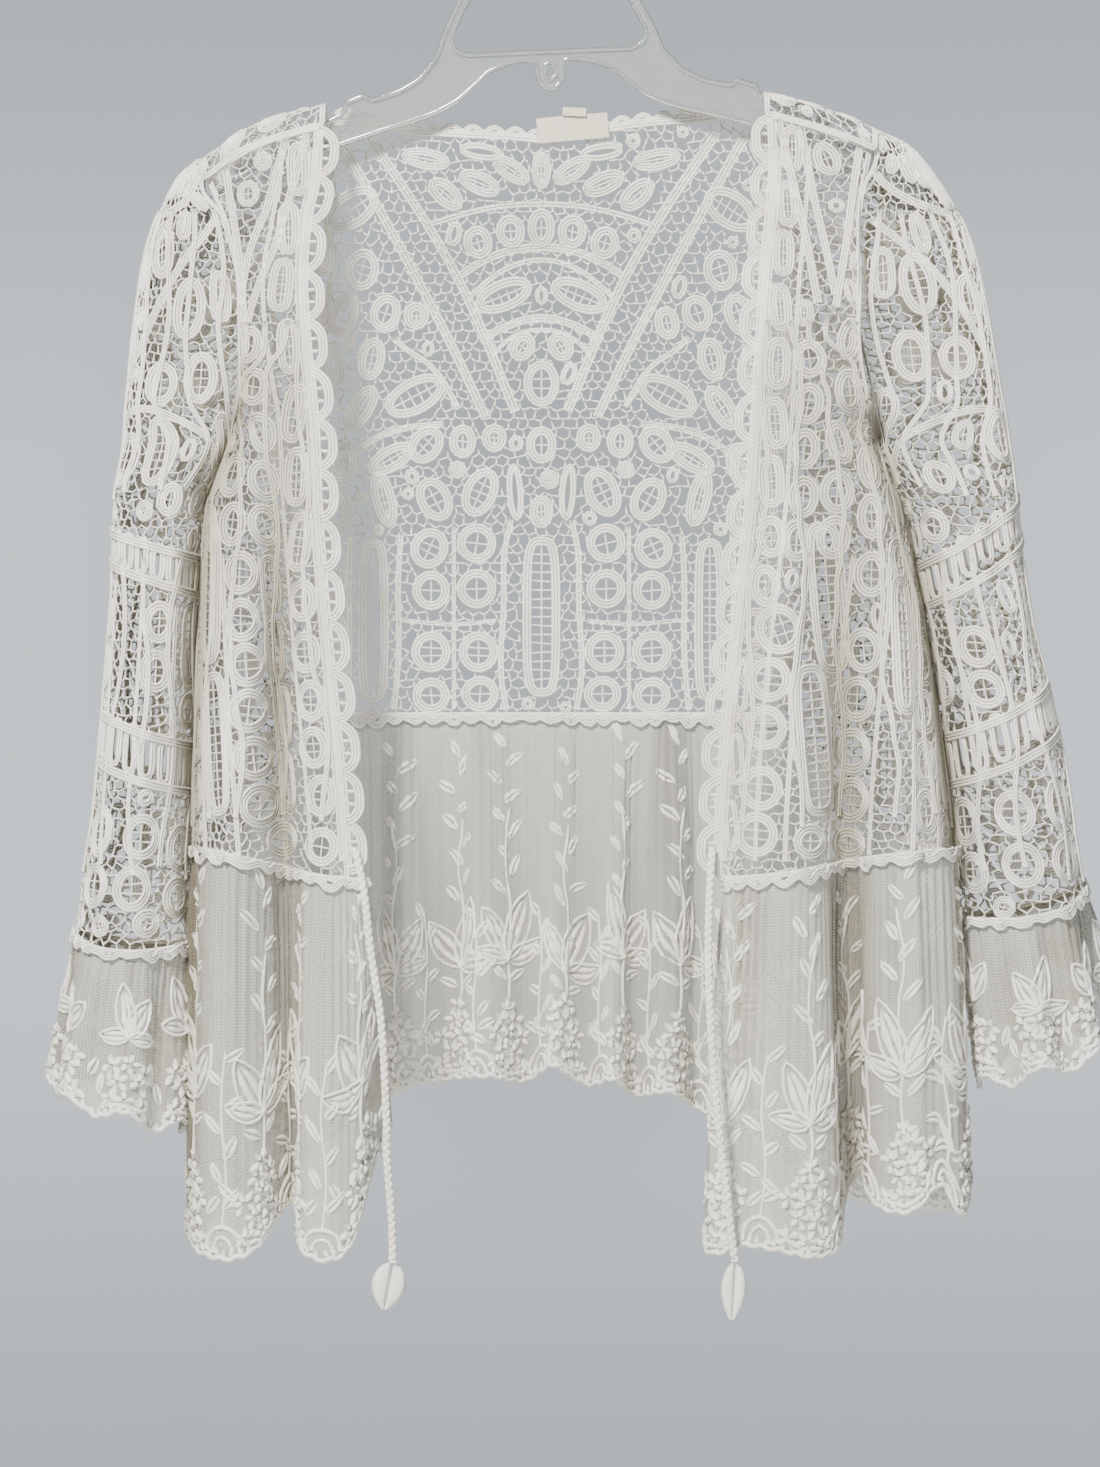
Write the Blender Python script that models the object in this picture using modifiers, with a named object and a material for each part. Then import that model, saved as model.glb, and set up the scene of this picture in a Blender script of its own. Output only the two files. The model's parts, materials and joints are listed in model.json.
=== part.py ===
import bpy
from math import sin, cos, pi, sqrt, radians, exp
from mathutils import Vector
from mathutils.geometry import delaunay_2d_cdt

# Crochet lace cardigan on a clear hanger. Metres, +Z up, the wearer's front towards -Y.
# The origin is the inside top of the hanger's hook. Tables are in millimetres.

MM = 0.001
LACE_T = 1.4
NET_T = 1.0
EDGE_T = 2.4
CORD_D = 4.5
SEAM = 0.3
LEFT, RIGHT = -1, 1

for old in list(bpy.data.objects):
    bpy.data.objects.remove(old, do_unlink=True)
room = bpy.data.collections.new("crochet_cardigan")
bpy.context.scene.collection.children.link(room)


def material(name, colour, rough, clear=0.0, metal=0.0):
    made = bpy.data.materials.new(name)
    made.use_nodes = True
    base = made.node_tree.nodes["Principled BSDF"]
    base.inputs["Base Color"].default_value = (*colour, 1)
    base.inputs["Roughness"].default_value = rough
    base.inputs["Transmission Weight"].default_value = clear
    base.inputs["Metallic"].default_value = metal
    return made


COTTON = material("crochet_cotton", (0.84, 0.82, 0.76), 0.9)
NET = material("embroidered_net", (0.80, 0.78, 0.70), 0.9)
TAPE = material("label_tape", (0.70, 0.62, 0.48), 0.8)
CLEAR = material("clear_styrene", (0.86, 0.89, 0.90), 0.08, 0.9)
STEEL = material("hook_steel", (0.62, 0.63, 0.65), 0.25, 0.0, 1.0)


def smooth(value):
    value = min(1.0, max(0.0, value))
    return value * value * (3 - 2 * value)


def read(rows, column, at):
    """Smooth reading of one column of a table whose first column falls from row to row."""
    if at >= rows[0][0]:
        return rows[0][column]
    if at <= rows[-1][0]:
        return rows[-1][column]
    i = max(j for j in range(len(rows) - 1) if rows[j][0] >= at)
    slope = []
    for j in (i, i + 1):
        a, b = rows[max(0, j - 1)], rows[min(len(rows) - 1, j + 1)]
        slope.append((b[column] - a[column]) / (b[0] - a[0]))
    x0, x1 = rows[i][0], rows[i + 1][0]
    h = x1 - x0
    t = (at - x0) / h
    return ((1 + 2 * t) * (1 - t) ** 2 * rows[i][column] + t * (1 - t) ** 2 * h * slope[0]
            + t * t * (3 - 2 * t) * rows[i + 1][column] + t * t * (t - 1) * h * slope[1])


def add(name, verts, faces, skin, thick=0.0):
    mesh = bpy.data.meshes.new(name)
    mesh.from_pydata([Vector(v) * MM for v in verts], [], faces)
    mesh.materials.append(skin)
    made = bpy.data.objects.new(name, mesh)
    room.objects.link(made)
    if thick:
        wall = made.modifiers.new("wall", "SOLIDIFY")
        wall.thickness = thick * MM
        wall.offset = 0
        wall.use_even_offset = True
    return made


def inside(point, loop):
    hit = False
    for (x0, y0), (x1, y1) in zip(loop, loop[1:] + loop[:1]):
        if (y0 > point[1]) != (y1 > point[1]):
            if point[0] < (x1 - x0) * (point[1] - y0) / (y1 - y0) + x0:
                hit = not hit
    return hit


def reach(point, loop):
    """Distance from a point to a closed loop."""
    best = 1e9
    for (x0, y0), (x1, y1) in zip(loop, loop[1:] + loop[:1]):
        dx, dy = x1 - x0, y1 - y0
        t = ((point[0] - x0) * dx + (point[1] - y0) * dy) / (dx * dx + dy * dy + 1e-12)
        t = min(1.0, max(0.0, t))
        best = min(best, sqrt((point[0] - x0 - t * dx) ** 2 + (point[1] - y0 - t * dy) ** 2))
    return best


def lace(name, outline, holes, surface, step, lines=(), creases=(), skin=COTTON, thick=LACE_T):
    """A cloth panel cut flat as an outline with holes, then laid on its surface."""
    kept = []
    for hole in holes:
        if all(inside(p, outline) and reach(p, outline) > 3.0 for p in hole):
            if all(min(reach(p, other) for p in hole) > 1.6 and not inside(hole[0], other)
                   and min(reach(p, hole) for p in other) > 1.6 for other in kept):
                kept.append(hole)
    points, edges = [], []
    for loop in [outline] + kept:
        first = len(points)
        points += loop
        edges += [(first + i, first + (i + 1) % len(loop)) for i in range(len(loop))]
    fixed = [p for p in lines if inside(p, outline) and reach(p, outline) > 3.0
             and all(not inside(p, h) and reach(p, h) > 2.5 for h in kept)]
    points += fixed
    for crease in creases:
        line = [p for p in crease if inside(p, outline) and reach(p, outline) > 3.0]
        first = len(points)
        points += line
        edges += [(first + i, first + i + 1) for i in range(len(line) - 1)]
        fixed = fixed + line
    low = [min(p[i] for p in outline) for i in (0, 1)]
    top = [max(p[i] for p in outline) for i in (0, 1)]
    for i in range(1, int((top[0] - low[0]) / step[0]) + 1):
        for j in range(1, int((top[1] - low[1]) / step[1]) + 1):
            spot = (low[0] + i * step[0], low[1] + (j + 0.5 * (i % 2)) * step[1])
            if inside(spot, outline) and reach(spot, outline) > 0.3 * step[0]:
                if all(not inside(spot, h) and reach(spot, h) > 4.5 for h in kept):
                    if all(abs(spot[0] - p[0]) + abs(spot[1] - p[1]) > 12 for p in fixed):
                        points.append(spot)
    flat, _, tris, *_ = delaunay_2d_cdt([Vector(p) for p in points], edges, [], 0, 1e-5)
    faces = []
    for tri in tris:
        mid = sum((flat[i] for i in tri), Vector((0, 0))) / len(tri)
        if inside(mid, outline) and not any(inside(mid, h) for h in kept):
            faces.append(tuple(tri))
    used = sorted({i for f in faces for i in f})
    place = {old: new for new, old in enumerate(used)}
    verts = [surface(flat[i][0], flat[i][1]) for i in used]
    made = add(name, verts, [tuple(place[i] for i in f) for f in faces], skin, thick)
    print(name, "holes", len(kept), "of", len(holes), "faces", len(faces))
    return made


def oval(x, z, wide, high, turn=0.0, sides=6):
    c, s = cos(radians(turn)), sin(radians(turn))
    ring = [(wide / 2 * cos(2 * pi * (i + 0.5) / sides), high / 2 * sin(2 * pi * (i + 0.5) / sides))
            for i in range(sides)]
    return [(x + a * c - b * s, z + a * s + b * c) for a, b in ring]


def cell(x, z, wide, high, turn=0.0):
    c, s = cos(radians(turn)), sin(radians(turn))
    box = [(-wide / 2, -high / 2), (wide / 2, -high / 2), (wide / 2, high / 2), (-wide / 2, high / 2)]
    return [(x + a * c - b * s, z + a * s + b * c) for a, b in box]


# Body: one table a side. Height, front edge, side edge or armhole (distances from the centre).
SIDE = {
    LEFT: [(-170, 127, 190), (-217, 128, 187.5), (-240, 132, 178), (-271, 134, 170.5),
           (-305, 132, 168), (-343, 128, 169), (-371, 126, 178), (-398, 125, 188),
           (-453, 121, 192), (-508, 116, 194.5), (-559, 111, 196), (-620, 107, 197)],
    RIGHT: [(-160, 125, 183), (-202, 128, 181), (-232, 126, 175), (-277, 121, 173.6),
            (-310, 119, 173), (-343, 117, 178), (-370, 115, 187), (-398, 113, 198),
            (-453, 107, 210), (-508, 101, 218), (-563, 97, 225), (-620, 95, 229.5)],
}
# Shoulder ridge over the hanger: minus distance from the centre, height of the cloth.
RIDGE = {LEFT: [(-100, -172.5), (-126, -175), (-165, -187), (-190, -204), (-210, -218)],
         RIGHT: [(-100, -165), (-126, -168.5), (-160, -178), (-184, -188), (-200, -198)]}
SHOULDER_X = {LEFT: 190, RIGHT: 184}
SLEEVE_TOP_X = {LEFT: 191.8, RIGHT: 185.1}
NECK_X = {LEFT: 124, RIGHT: 124}
RIDGE_R = 9
SEAM_DROP = 13
CORNER_X = 24
UNDERARM = -366
WAIST_SIDE = -590
WAIST_BACK = -516


def ridge(side, x):
    return read(RIDGE[side], 1, -abs(x))


def closed(z):
    """0 at the open armhole, 1 where the body and the sleeve are closed tubes."""
    return smooth((-338 - z) / 30)


def front_level(side, x, z):
    fall = ridge(side, x) - SEAM_DROP - z
    return -RIDGE_R - 25 * smooth(fall / 120) - 8 * smooth((-300 - z) / 260)


def back_level(side, x, z):
    return RIDGE_R + 26 * smooth((ridge(side, x) - RIDGE_R - z) / 120)


def corner_length(side, z):
    edge = read(SIDE[side], 2, z)
    rise = abs(front_level(side, edge, z)) * closed(z) + 4 * (1 - closed(z))
    return pi / 2 * sqrt((CORNER_X ** 2 + rise ** 2) / 2)


def section(side, s, z, level):
    """Point across the body: flat level, then a round corner to the side seam or armhole."""
    edge = read(SIDE[side], 2, z)
    start = edge - CORNER_X
    if s <= start:
        return s, level
    a = min(pi / 2, (s - start) / corner_length(side, z) * pi / 2)
    shut = closed(z)
    way = 1 if level > 0 else -1
    home = way * (0.5 * shut + (abs(level) - 4) * (1 - shut))
    bend = (1 - shut) * sin(a) ** 2 + shut * (1 - cos(a))
    return start + CORNER_X * sin(a), level + (home - level) * bend


# Folds of the fronts: distance from the centre at the top and the hem, depth towards the back,
# half width, height where it starts.
FOLDS = {
    LEFT: [(152, 143, 20, 8.5, -330), (172, 170, -7, 12, -380), (133, 118, -5, 9, -250)],
    RIGHT: [(160, 166, 24, 9.5, -370), (128, 130, -8, 16, -260), (190, 199, -9, 14, -420)],
}


def front_point(side, s, z):
    x, y = section(side, s, z, front_level(side, s, z))
    for top, hem, depth, half, start in FOLDS[side]:
        grow = smooth((start - z) / 190)
        mid = top + (hem - top) * min(1, max(0, (start - z) / (start + 600)))
        y += depth * grow * exp(-((s - mid) / half) ** 2)
    return side * x, y, z


def back_point(s, t):
    side = LEFT if s < 0 else RIGHT
    a = abs(s)
    top = ridge(side, a) - RIDGE_R
    if t <= top:
        x, y = section(side, a, t, back_level(side, a, t))
        y += 2.5 * sin(a / 21 + 0.6 * side) * smooth((-300 - t) / 200) * smooth((150 - a) / 40)
        return side * x, y, t
    turn = (t - top) / RIDGE_R
    if turn < pi:
        return s, RIDGE_R * cos(turn), top + RIDGE_R * sin(turn)
    return s, -RIDGE_R, top - (turn - pi) * RIDGE_R


def body_edge(side, z):
    return read(SIDE[side], 2, z) - CORNER_X + corner_length(side, z)


def waist(x):
    """Seam between lace and ruffle: high across the back, low at the side seams."""
    side = LEFT if x < 0 else RIGHT
    edge = read(SIDE[side], 2, WAIST_SIDE) - 6
    return WAIST_BACK + (WAIST_SIDE - WAIST_BACK) * smooth((abs(x) - 118) / (edge - 118))


# Back of crochet lace, its shoulders folded over the hanger to the forward seam.
NECK = [(-122, -179.5), (-106, -183), (-91, -186), (-70, -188.5), (-45, -190), (-20, -191),
        (0, -193), (20, -189.5), (38, -186), (57, -183.5), (76, -182), (98, -180), (121, -178)]


def back_outline():
    loop = []
    for side in (RIGHT, LEFT):
        part = []
        low = WAIST_SIDE
        for i in range(14):
            z = low + (-222 - low) * i / 13 if side == LEFT else low + (-206 - low) * i / 13
            part.append((side * body_edge(side, z), z))
        out = SHOULDER_X[side]
        for i in range(7):
            t = ridge(side, out) - RIDGE_R - 4 + (pi * RIDGE_R + 8) * i / 6
            part.append((side * out, t))
        for i in range(1, 5):
            x = out + (NECK_X[side] - out) * i / 5
            part.append((side * x, ridge(side, x) - RIDGE_R + pi * RIDGE_R + 4))
        for i in range(6):
            t = ridge(side, NECK_X[side]) - RIDGE_R + (pi * RIDGE_R + 4) * (1 - i / 5)
            part.append((side * NECK_X[side], t))
        loop += part if side == RIGHT else part[::-1]
        if side == RIGHT:
            loop += NECK[::-1][1:-1]
    hem = []
    for i in range(1, 36):
        f = i / 18 - 1
        side = LEFT if f < 0 else RIGHT
        run = abs(f) * body_edge(side, WAIST_SIDE)
        x = section(side, run, WAIST_SIDE, 35)[0]
        hem.append((side * run, waist(side * x)))
    return loop + hem


def back_holes():
    holes = []
    for way in (-1, 1):
        for i in range(8):
            z = -202 - i * 18.2
            x = 101 - 81.5 * ((i * 18.2) / 150) ** 0.92
            for part in (-4.4, 4.4):
                holes.append(cell(way * (x + 0.88 * part) - 2, z - 0.47 * part, 6.4, 15, way * -28))
        for x, z, wide, high, turn in (
                (20, -241, 9, 11, 0), (39, -252, 9, 11, 0), (18, -274, 12, 27, 20),
                (104, -246, 16, 29, -52), (96, -285, 11, 17, -20), (78, -303, 11, 20, -42),
                (58, -322, 10, 20, -55), (110, -318, 12, 22, 25), (92, -336, 11, 21, 30),
                (74, -352, 11, 20, 20), (50, -357, 10, 16, -10), (34.5, -389, 12, 27, 8),
                (69, -392, 12, 28, -8), (98, -392, 12, 26, 5), (19, -372, 10, 15, 0),
                (62, -213, 9, 22, 70), (37, -213, 9, 18, 60), (14, -208, 8, 17, 25)):
            holes.append(oval(way * x - 2, z, wide, high, way * turn))
        for x in (37, 64.5):
            for z in (-424, -446, -470, -494):
                holes.append(oval(way * x - 2, z, 12.6, 13.5))
        for i in range(4):
            holes.append(cell(way * 97 - 2, -431 - i * 22, 9, 18))
    holes += [oval(-2, -237, 10, 12), oval(-2, -325, 17, 22, 0, 8)]
    holes += [cell(-2, -415 - i * 22, 9.5, 18) for i in range(4)]
    return holes


def back_path(count):
    """The gathers' path, its top on the lace."""
    path = curve(BACK_FOLDS, count)
    for row in path:
        if abs(row[0]) < read(SIDE[LEFT if row[0] < 0 else RIGHT], 2, WAIST_SIDE) - CORNER_X:
            row[1] = back_point(row[0], waist(row[0]))[1]
    return path


def ridge_lines():
    """Points that keep the fold over the hanger round, and those of the side corners."""
    spots = []
    for side in (LEFT, RIGHT):
        for i in range(1, 5):
            x = SHOULDER_X[side] + (NECK_X[side] - SHOULDER_X[side]) * i / 5
            for k in range(-1, 7):
                spots.append((side * x, ridge(side, x) - RIDGE_R + pi * RIDGE_R * k / 6))
        for i in range(9):
            z = -350 - 27 * i
            spots.append((side * (body_edge(side, z) - 9), z))
            spots.append((side * (body_edge(side, z) - 24), z))
    return spots


lace("back", back_outline(), back_holes(), back_point, (30, 38), ridge_lines())


# Fronts of crochet lace, hanging open from the forward shoulder seam.
def front_hem(side, x):
    inner, outer = read(SIDE[side], 1, -606), read(SIDE[side], 2, WAIST_SIDE)
    return WAIST_SIDE - 16 * smooth((outer - x) / (outer - inner))


def front_outline(side):
    loop = []
    top_out = SHOULDER_X[side] - 1.5
    inner = read(SIDE[side], 1, -190)
    for i in range(6):
        x = min(top_out, max(inner, NECK_X[side] + (SHOULDER_X[side] - NECK_X[side]) * i / 5))
        true_x = section(side, x, ridge(side, x) - SEAM_DROP, -RIDGE_R)[0]
        loop.append((x, ridge(side, true_x) - SEAM_DROP - 0.9))
    start = loop[-1][1]
    for i in range(1, 15):
        z = start + (WAIST_SIDE - start) * i / 14
        loop.append((body_edge(side, z), z))
    inner, outer = read(SIDE[side], 1, -606), body_edge(side, WAIST_SIDE)
    for i in range(1, 15):
        run = outer + (inner - outer) * i / 15
        loop.append((run, front_hem(side, section(side, run, WAIST_SIDE, -42)[0])))
    for i in range(15):
        z = -606 + (loop[0][1] + 606) * i / 15
        loop.append((read(SIDE[side], 1, z), z))
    return loop


def clear_of_folds(side, x, z):
    for top, hem, depth, half, start in FOLDS[side]:
        mid = top + (hem - top) * min(1, max(0, (start - z) / (start + 600)))
        if depth > 0 and z < start and abs(x - mid) < 1.5 * half + 7:
            return False
    return True


def front_holes(side):
    holes = []
    for i in range(12):
        z = -226 - i * 31
        x = read(SIDE[side], 1, z) + 9
        holes.append(cell(x, z, 6, 20))
    for i in range(7):
        z = -236 - i * 17
        x = read(SIDE[side], 1, z) + 21 + 1.2 * i * (1 if side == RIGHT else 0.2)
        holes.append(oval(x, z, 9, 12, 10))
    for i in range(9):
        z = -380 - i * 25
        x = read(SIDE[side], 1, z) + 24
        holes.append(oval(x, z, 12, 15) if i % 3 else oval(x, z, 11, 20, 15))
        holes.append(oval(x + 24, z - 8, 11, 17, -10) if i % 2 else cell(x + 23, z - 8, 8, 19))
        holes.append(oval(x + 46, z - 3, 12, 16))
        if side == RIGHT and z < -420:
            holes.append(cell(x + 67, z - 6, 9, 18) if i % 2 else oval(x + 67, z - 6, 12, 15))
            holes.append(oval(x + 90, z, 12, 16))
    return [h for h in holes if clear_of_folds(side, sum(p[0] for p in h) / len(h), h[0][1])]


def fold_creases(side):
    """Runs of points down the middle and the flanks of each deep fold."""
    runs = []
    for top, hem, depth, half, start in FOLDS[side]:
        if depth > 0:
            for part in (-1.5, -0.75, 0, 0.75, 1.5):
                run = []
                for i in range(13):
                    z = start - 6 - i * (590 + start - 8) / 12
                    mid = top + (hem - top) * min(1, max(0, (start - z) / (start + 600)))
                    run.append((mid + part * half, z))
                runs.append(run)
    return runs


def fold_lines(side):
    spots = []
    for i in range(9):
        z = -350 - 27 * i
        spots += [(body_edge(side, z) - 9, z), (body_edge(side, z) - 24, z)]
    return spots


for side, name in ((LEFT, "front_left"), (RIGHT, "front_right")):
    lace(name, front_outline(side), front_holes(side),
         lambda s, t, side=side: front_point(side, s, t), (15, 36), fold_lines(side),
         fold_creases(side))


# Sleeves of crochet lace: height, outer edge, half depth, gap from the body.
SLEEVE = {
    LEFT: [(-207, 195, 1, 2), (-216, 205, 3, 2), (-250, 221, 5, 1.0), (-301, 229.6, 7, 0.6),
           (-335, 233, 9, 0.8), (-351, 235, 15, 2.6), (-372, 237.5, 26, 4), (-396, 240.8, 33, 6.5),
           (-452, 242.5, 37, 6.5), (-508, 246.4, 38, 5), (-564, 252, 40, 4.2), (-603, 257.6, 42, 4),
           (-645, 263, 43, 4)],
    RIGHT: [(-191, 189, 1, 2), (-198, 204, 3, 2), (-239, 232.4, 5, 0.6), (-284, 246.4, 7, 0.6),
            (-335, 254.2, 9, 0.8), (-351, 257.5, 15, 2.6), (-385, 263, 30, 5), (-418, 266, 36, 6.5),
            (-474, 274.4, 38, 6.5), (-508, 282.8, 40, 6.5), (-564, 294, 42, 6.5),
            (-603, 299.6, 43, 7), (-640, 306, 44, 7)],
}
SLEEVE_W = 84
CUFF_IN = {LEFT: -640, RIGHT: -628}
CUFF_OUT = {LEFT: -634, RIGHT: -608}


def sleeve_inner(side, z):
    high = ridge(side, SHOULDER_X[side]) - SEAM_DROP - 2
    if z > high:
        return SLEEVE_TOP_X[side]
    edge = read(SIDE[side], 2, z) + read(SLEEVE[side], 3, z)
    return edge + (SLEEVE_TOP_X[side] - edge) * smooth((z - high + 18) / 18)


def sleeve_point(side, way, p, z):
    """way -1 is the front half, +1 the back half; p runs from the inner seam to the crest."""
    u = min(1.0, max(0.0, p / SLEEVE_W))
    x_in, x_out = sleeve_inner(side, z), read(SLEEVE[side], 1, z)
    half = read(SLEEVE[side], 2, z)
    shut = closed(z)
    across = (1 - shut) * sin(pi * u / 2) + shut * (1 - cos(pi * u)) / 2
    level = front_level if way < 0 else back_level
    start = max(0.4, abs(level(side, x_in, z)) - 4)
    top = ridge(side, SHOULDER_X[side])
    start = min(start, RIDGE_R * sqrt(max(0.02, 1 - max(0, (z - top + RIDGE_R) / RIDGE_R) ** 2)))
    open_y = start * cos(pi * u / 2) + half * sin(pi * u)
    y = (1 - shut) * open_y + shut * half * sin(pi * u) + 0.8 - 0.35 * shut
    ripple = 2.0 * sin(3 * pi * u + z / 60) * smooth((-400 - z) / 100) * sin(pi * u)
    return side * (x_in + (x_out - x_in) * across), way * (y + ripple) + 2 * shut, z


def sleeve_hem(side, p):
    f = p / SLEEVE_W
    return CUFF_IN[side] * (1 - f) + CUFF_OUT[side] * f - 9 * sin(pi * f)


def sleeve_outline(side):
    top = SLEEVE[side][0][0]
    loop = []
    for i in range(15):
        loop.append((0, top + (CUFF_IN[side] - top) * (i / 14) ** 1.1))
    for i in range(1, 7):
        loop.append((SLEEVE_W * i / 7, sleeve_hem(side, SLEEVE_W * i / 7)))
    for i in range(15):
        loop.append((SLEEVE_W, CUFF_OUT[side] + (top - CUFF_OUT[side]) * (i / 14) ** 0.9))
    return loop


def sleeve_holes(side):
    shift = 0 if side == LEFT else 14
    holes = []
    for i in range(4):
        holes.append(cell(15 + 18 * i, -430 + shift - 3 * i, 10, 18))
        holes.append(cell(15 + 18 * i, -552 + shift - 3 * i, 10, 18))
    for p, z, wide, high, turn in (
            (22, -250, 9, 24, 8), (50, -262, 11, 25, -12), (26, -292, 10, 26, 5), (55, -300, 11, 19, 0),
            (20, -330, 9, 22, 0), (42, -332, 12, 16, 0), (66, -334, 10, 24, -8), (24, -372, 11, 16, 0),
            (46, -370, 9, 30, 0), (68, -374, 11, 22, 8), (18, -480, 9, 34, 0), (42, -472, 12, 15, 0),
            (42, -500, 12, 15, 0), (66, -484, 9, 36, 0), (20, -596, 12, 18, 0), (44, -600, 9, 26, 0),
            (68, -592, 11, 16, 0), (64, -400, 9, 14, 0), (20, -401, 9, 13, 0)):
        holes.append(oval(p, z + shift, wide, high, turn))
    return holes


for side, word in ((LEFT, "left"), (RIGHT, "right")):
    near_hem = [(SLEEVE_W * i / 7, sleeve_hem(side, SLEEVE_W * i / 7) + 15) for i in range(1, 7)]
    for way, half in ((-1, "front"), (1, "back")):
        lace("sleeve_%s_%s" % (word, half), sleeve_outline(side), sleeve_holes(side),
             lambda p, t, side=side, way=way: sleeve_point(side, way, p, t), (14, 42), near_hem)


# Ruffles: points round the gathered net, each with its place at the seam and at the hem.
# Columns: x and y at the seam, x and y at the hem, height of the hem.
def curve(rows, count):
    """Smooth path through the rows of a table."""
    path = []
    n = len(rows) - 1
    for k in range(count + 1):
        f = k / count * n
        i = min(n - 1, int(f))
        t = f - i
        near = [rows[max(0, i - 1)], rows[i], rows[i + 1], rows[min(n, i + 2)]]
        path.append([0.5 * (2 * near[1][c] + (near[2][c] - near[0][c]) * t
                     + (2 * near[0][c] - 5 * near[1][c] + 4 * near[2][c] - near[3][c]) * t * t
                     + (3 * near[1][c] - near[0][c] - 3 * near[2][c] + near[3][c]) * t ** 3)
                     for c in range(len(rows[0]))])
    return path


def ruffle(name, path, seam, rows, scallop, around=False):
    """Net gathered along a seam, with a shell hem; seam(x, y) is the height of its top."""
    verts, faces = [], []
    wide = len(path) if around else len(path)
    for j in range(rows + 1):
        v = j / rows
        for k, (x0, y0, x1, y1, low) in enumerate(path):
            f = v ** 0.85
            x, y = x0 + (x1 - x0) * f, y0 + (y1 - y0) * f
            top = seam(x0, y0)
            z = top + (low - top) * v
            if j == rows:
                z += scallop * (1 if k % 3 == 0 else 0)
            verts.append((x, y, z))
    for j in range(rows):
        for k in range(wide if around else wide - 1):
            a, b = j * wide + k, j * wide + (k + 1) % wide
            faces.append((a, a + wide, b + wide, b))
    return add(name, verts, faces, NET, NET_T)


# Back ruffle: seven soft gathers between the side seams.
BACK_FOLDS = [(-196, 1.2, -196, 1.2, -806), (-190, 20, -191, 22, -806), (-171, 31, -175, 36, -798),
              (-152, 34, -153, 26, -789), (-132, 35, -135, 42, -770), (-112, 35, -112, 27, -752),
              (-95, 35, -94, 43, -739), (-78, 35, -77, 26, -728), (-58, 35, -57, 43, -726),
              (-36, 35, -34, 24, -722), (-14, 35, -12, 43, -727), (5, 35, 4, 25, -716),
              (24, 35, 24, 42, -729), (38, 35, 38, 25, -724), (54, 35, 52, 43, -735),
              (70, 35, 70, 24, -731), (86, 35, 86, 43, -742), (102, 35, 102, 27, -748),
              (124, 35, 126, 42, -765), (146, 35, 148, 27, -780), (170, 35, 172, 38, -792),
              (194, 34, 198, 30, -797), (216, 24, 220, 26, -797), (228, 1.2, 231, 1.2, -796)]


def back_seam(x, y):
    return waist(x) - 1.3


ruffle("back_ruffle", back_path(75), back_seam, 3, 3.0)

# Front ruffles: two lobes a side with a deep fold between, the inner edge turned back.
FRONT_FOLDS = {
    LEFT: [(-196, -1.2, -197, -1.2, -806), (-195, -16, -197, -18, -806), (-187, -33, -190, -40, -811),
           (-172, -44, -172, -52, -814), (-156, -38, -157, -47, -808), (-146, -22, -146, -24, -790),
           (-139, -24, -138, -20, -786), (-131, -37, -134, -44, -806), (-119, -44, -120, -55, -814),
           (-108, -41, -106, -48, -806), (-101, -32, -97, -30, -770), (-95, -24, -85, -14, -742)],
    RIGHT: [(98, -33, 88, -26, -806), (103, -41, 92, -44, -812), (116, -47, 108, -54, -806),
            (132, -49, 126, -57, -808), (148, -42, 147, -54, -812), (157, -24, 163, -38, -806),
            (164, -12, 169, -16, -780), (172, -14, 176, -14, -770), (181, -30, 182, -38, -786),
            (195, -46, 199, -50, -788), (210, -45, 216, -46, -774), (221, -36, 228, -40, -792),
            (228, -18, 234, -22, -780), (229, -1.2, 232, -1.2, -796)],
}


def front_path(side, count):
    """The folds' path, its top on the folds of the lace."""
    path = curve(FRONT_FOLDS[side], count)
    for row in path:
        if abs(row[0]) < read(SIDE[side], 2, WAIST_SIDE) - CORNER_X:
            row[1] = front_point(side, max(abs(row[0]), read(SIDE[side], 1, -606)), -604)[1]
    return path


for side, word, count in ((LEFT, "left", 36), (RIGHT, "right", 42)):
    ruffle("front_ruffle_" + word, front_path(side, count),
           lambda x, y, side=side: front_hem(side, abs(x)) - 1.2, 4, 3.0)

# Sleeve ruffles: uncut tubes of net with seven gathers. Centre x, half width and half depth
# at the hem, its height at the inner and outer side.
CUFF_TUBE = {LEFT: (-238, 38, 49, -747, -724), RIGHT: (280, 38, 50, -722, -700)}
CUFF_WAVES = 7


def cuff_path(side, count=42):
    centre, wide, deep, low_in, low_out = CUFF_TUBE[side]
    path = []
    for k in range(count):
        way = -1 if k < count / 2 else 1
        p = SLEEVE_W * (k if way < 0 else count - k) / (count / 2)
        x0, y0, z0 = sleeve_point(side, way, p, sleeve_hem(side, p))
        turn = pi + 2 * pi * k / count
        wave = cos(CUFF_WAVES * turn)
        x = centre + side * wide * cos(turn) * (1 + 0.07 * wave)
        y = 2 + deep * sin(turn) * (1 + 0.10 * wave)
        share = 0.5 + 0.5 * cos(turn)
        path.append((x0, y0, x, y, low_in + (low_out - low_in) * share + 4 * wave, z0))
    return path


for side, word in ((LEFT, "left"), (RIGHT, "right")):
    path = cuff_path(side)
    tops = {(row[0], row[1]): row[5] - 1.0 for row in path}
    ruffle("sleeve_ruffle_" + word, [row[:5] for row in path],
           lambda x, y, tops=tops: tops[(x, y)], 3, 3.0, True)


# Shell edging of crochet, sewn along each front edge and along the back neck.
EDGE_W = 12
SHELL = 26


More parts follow.
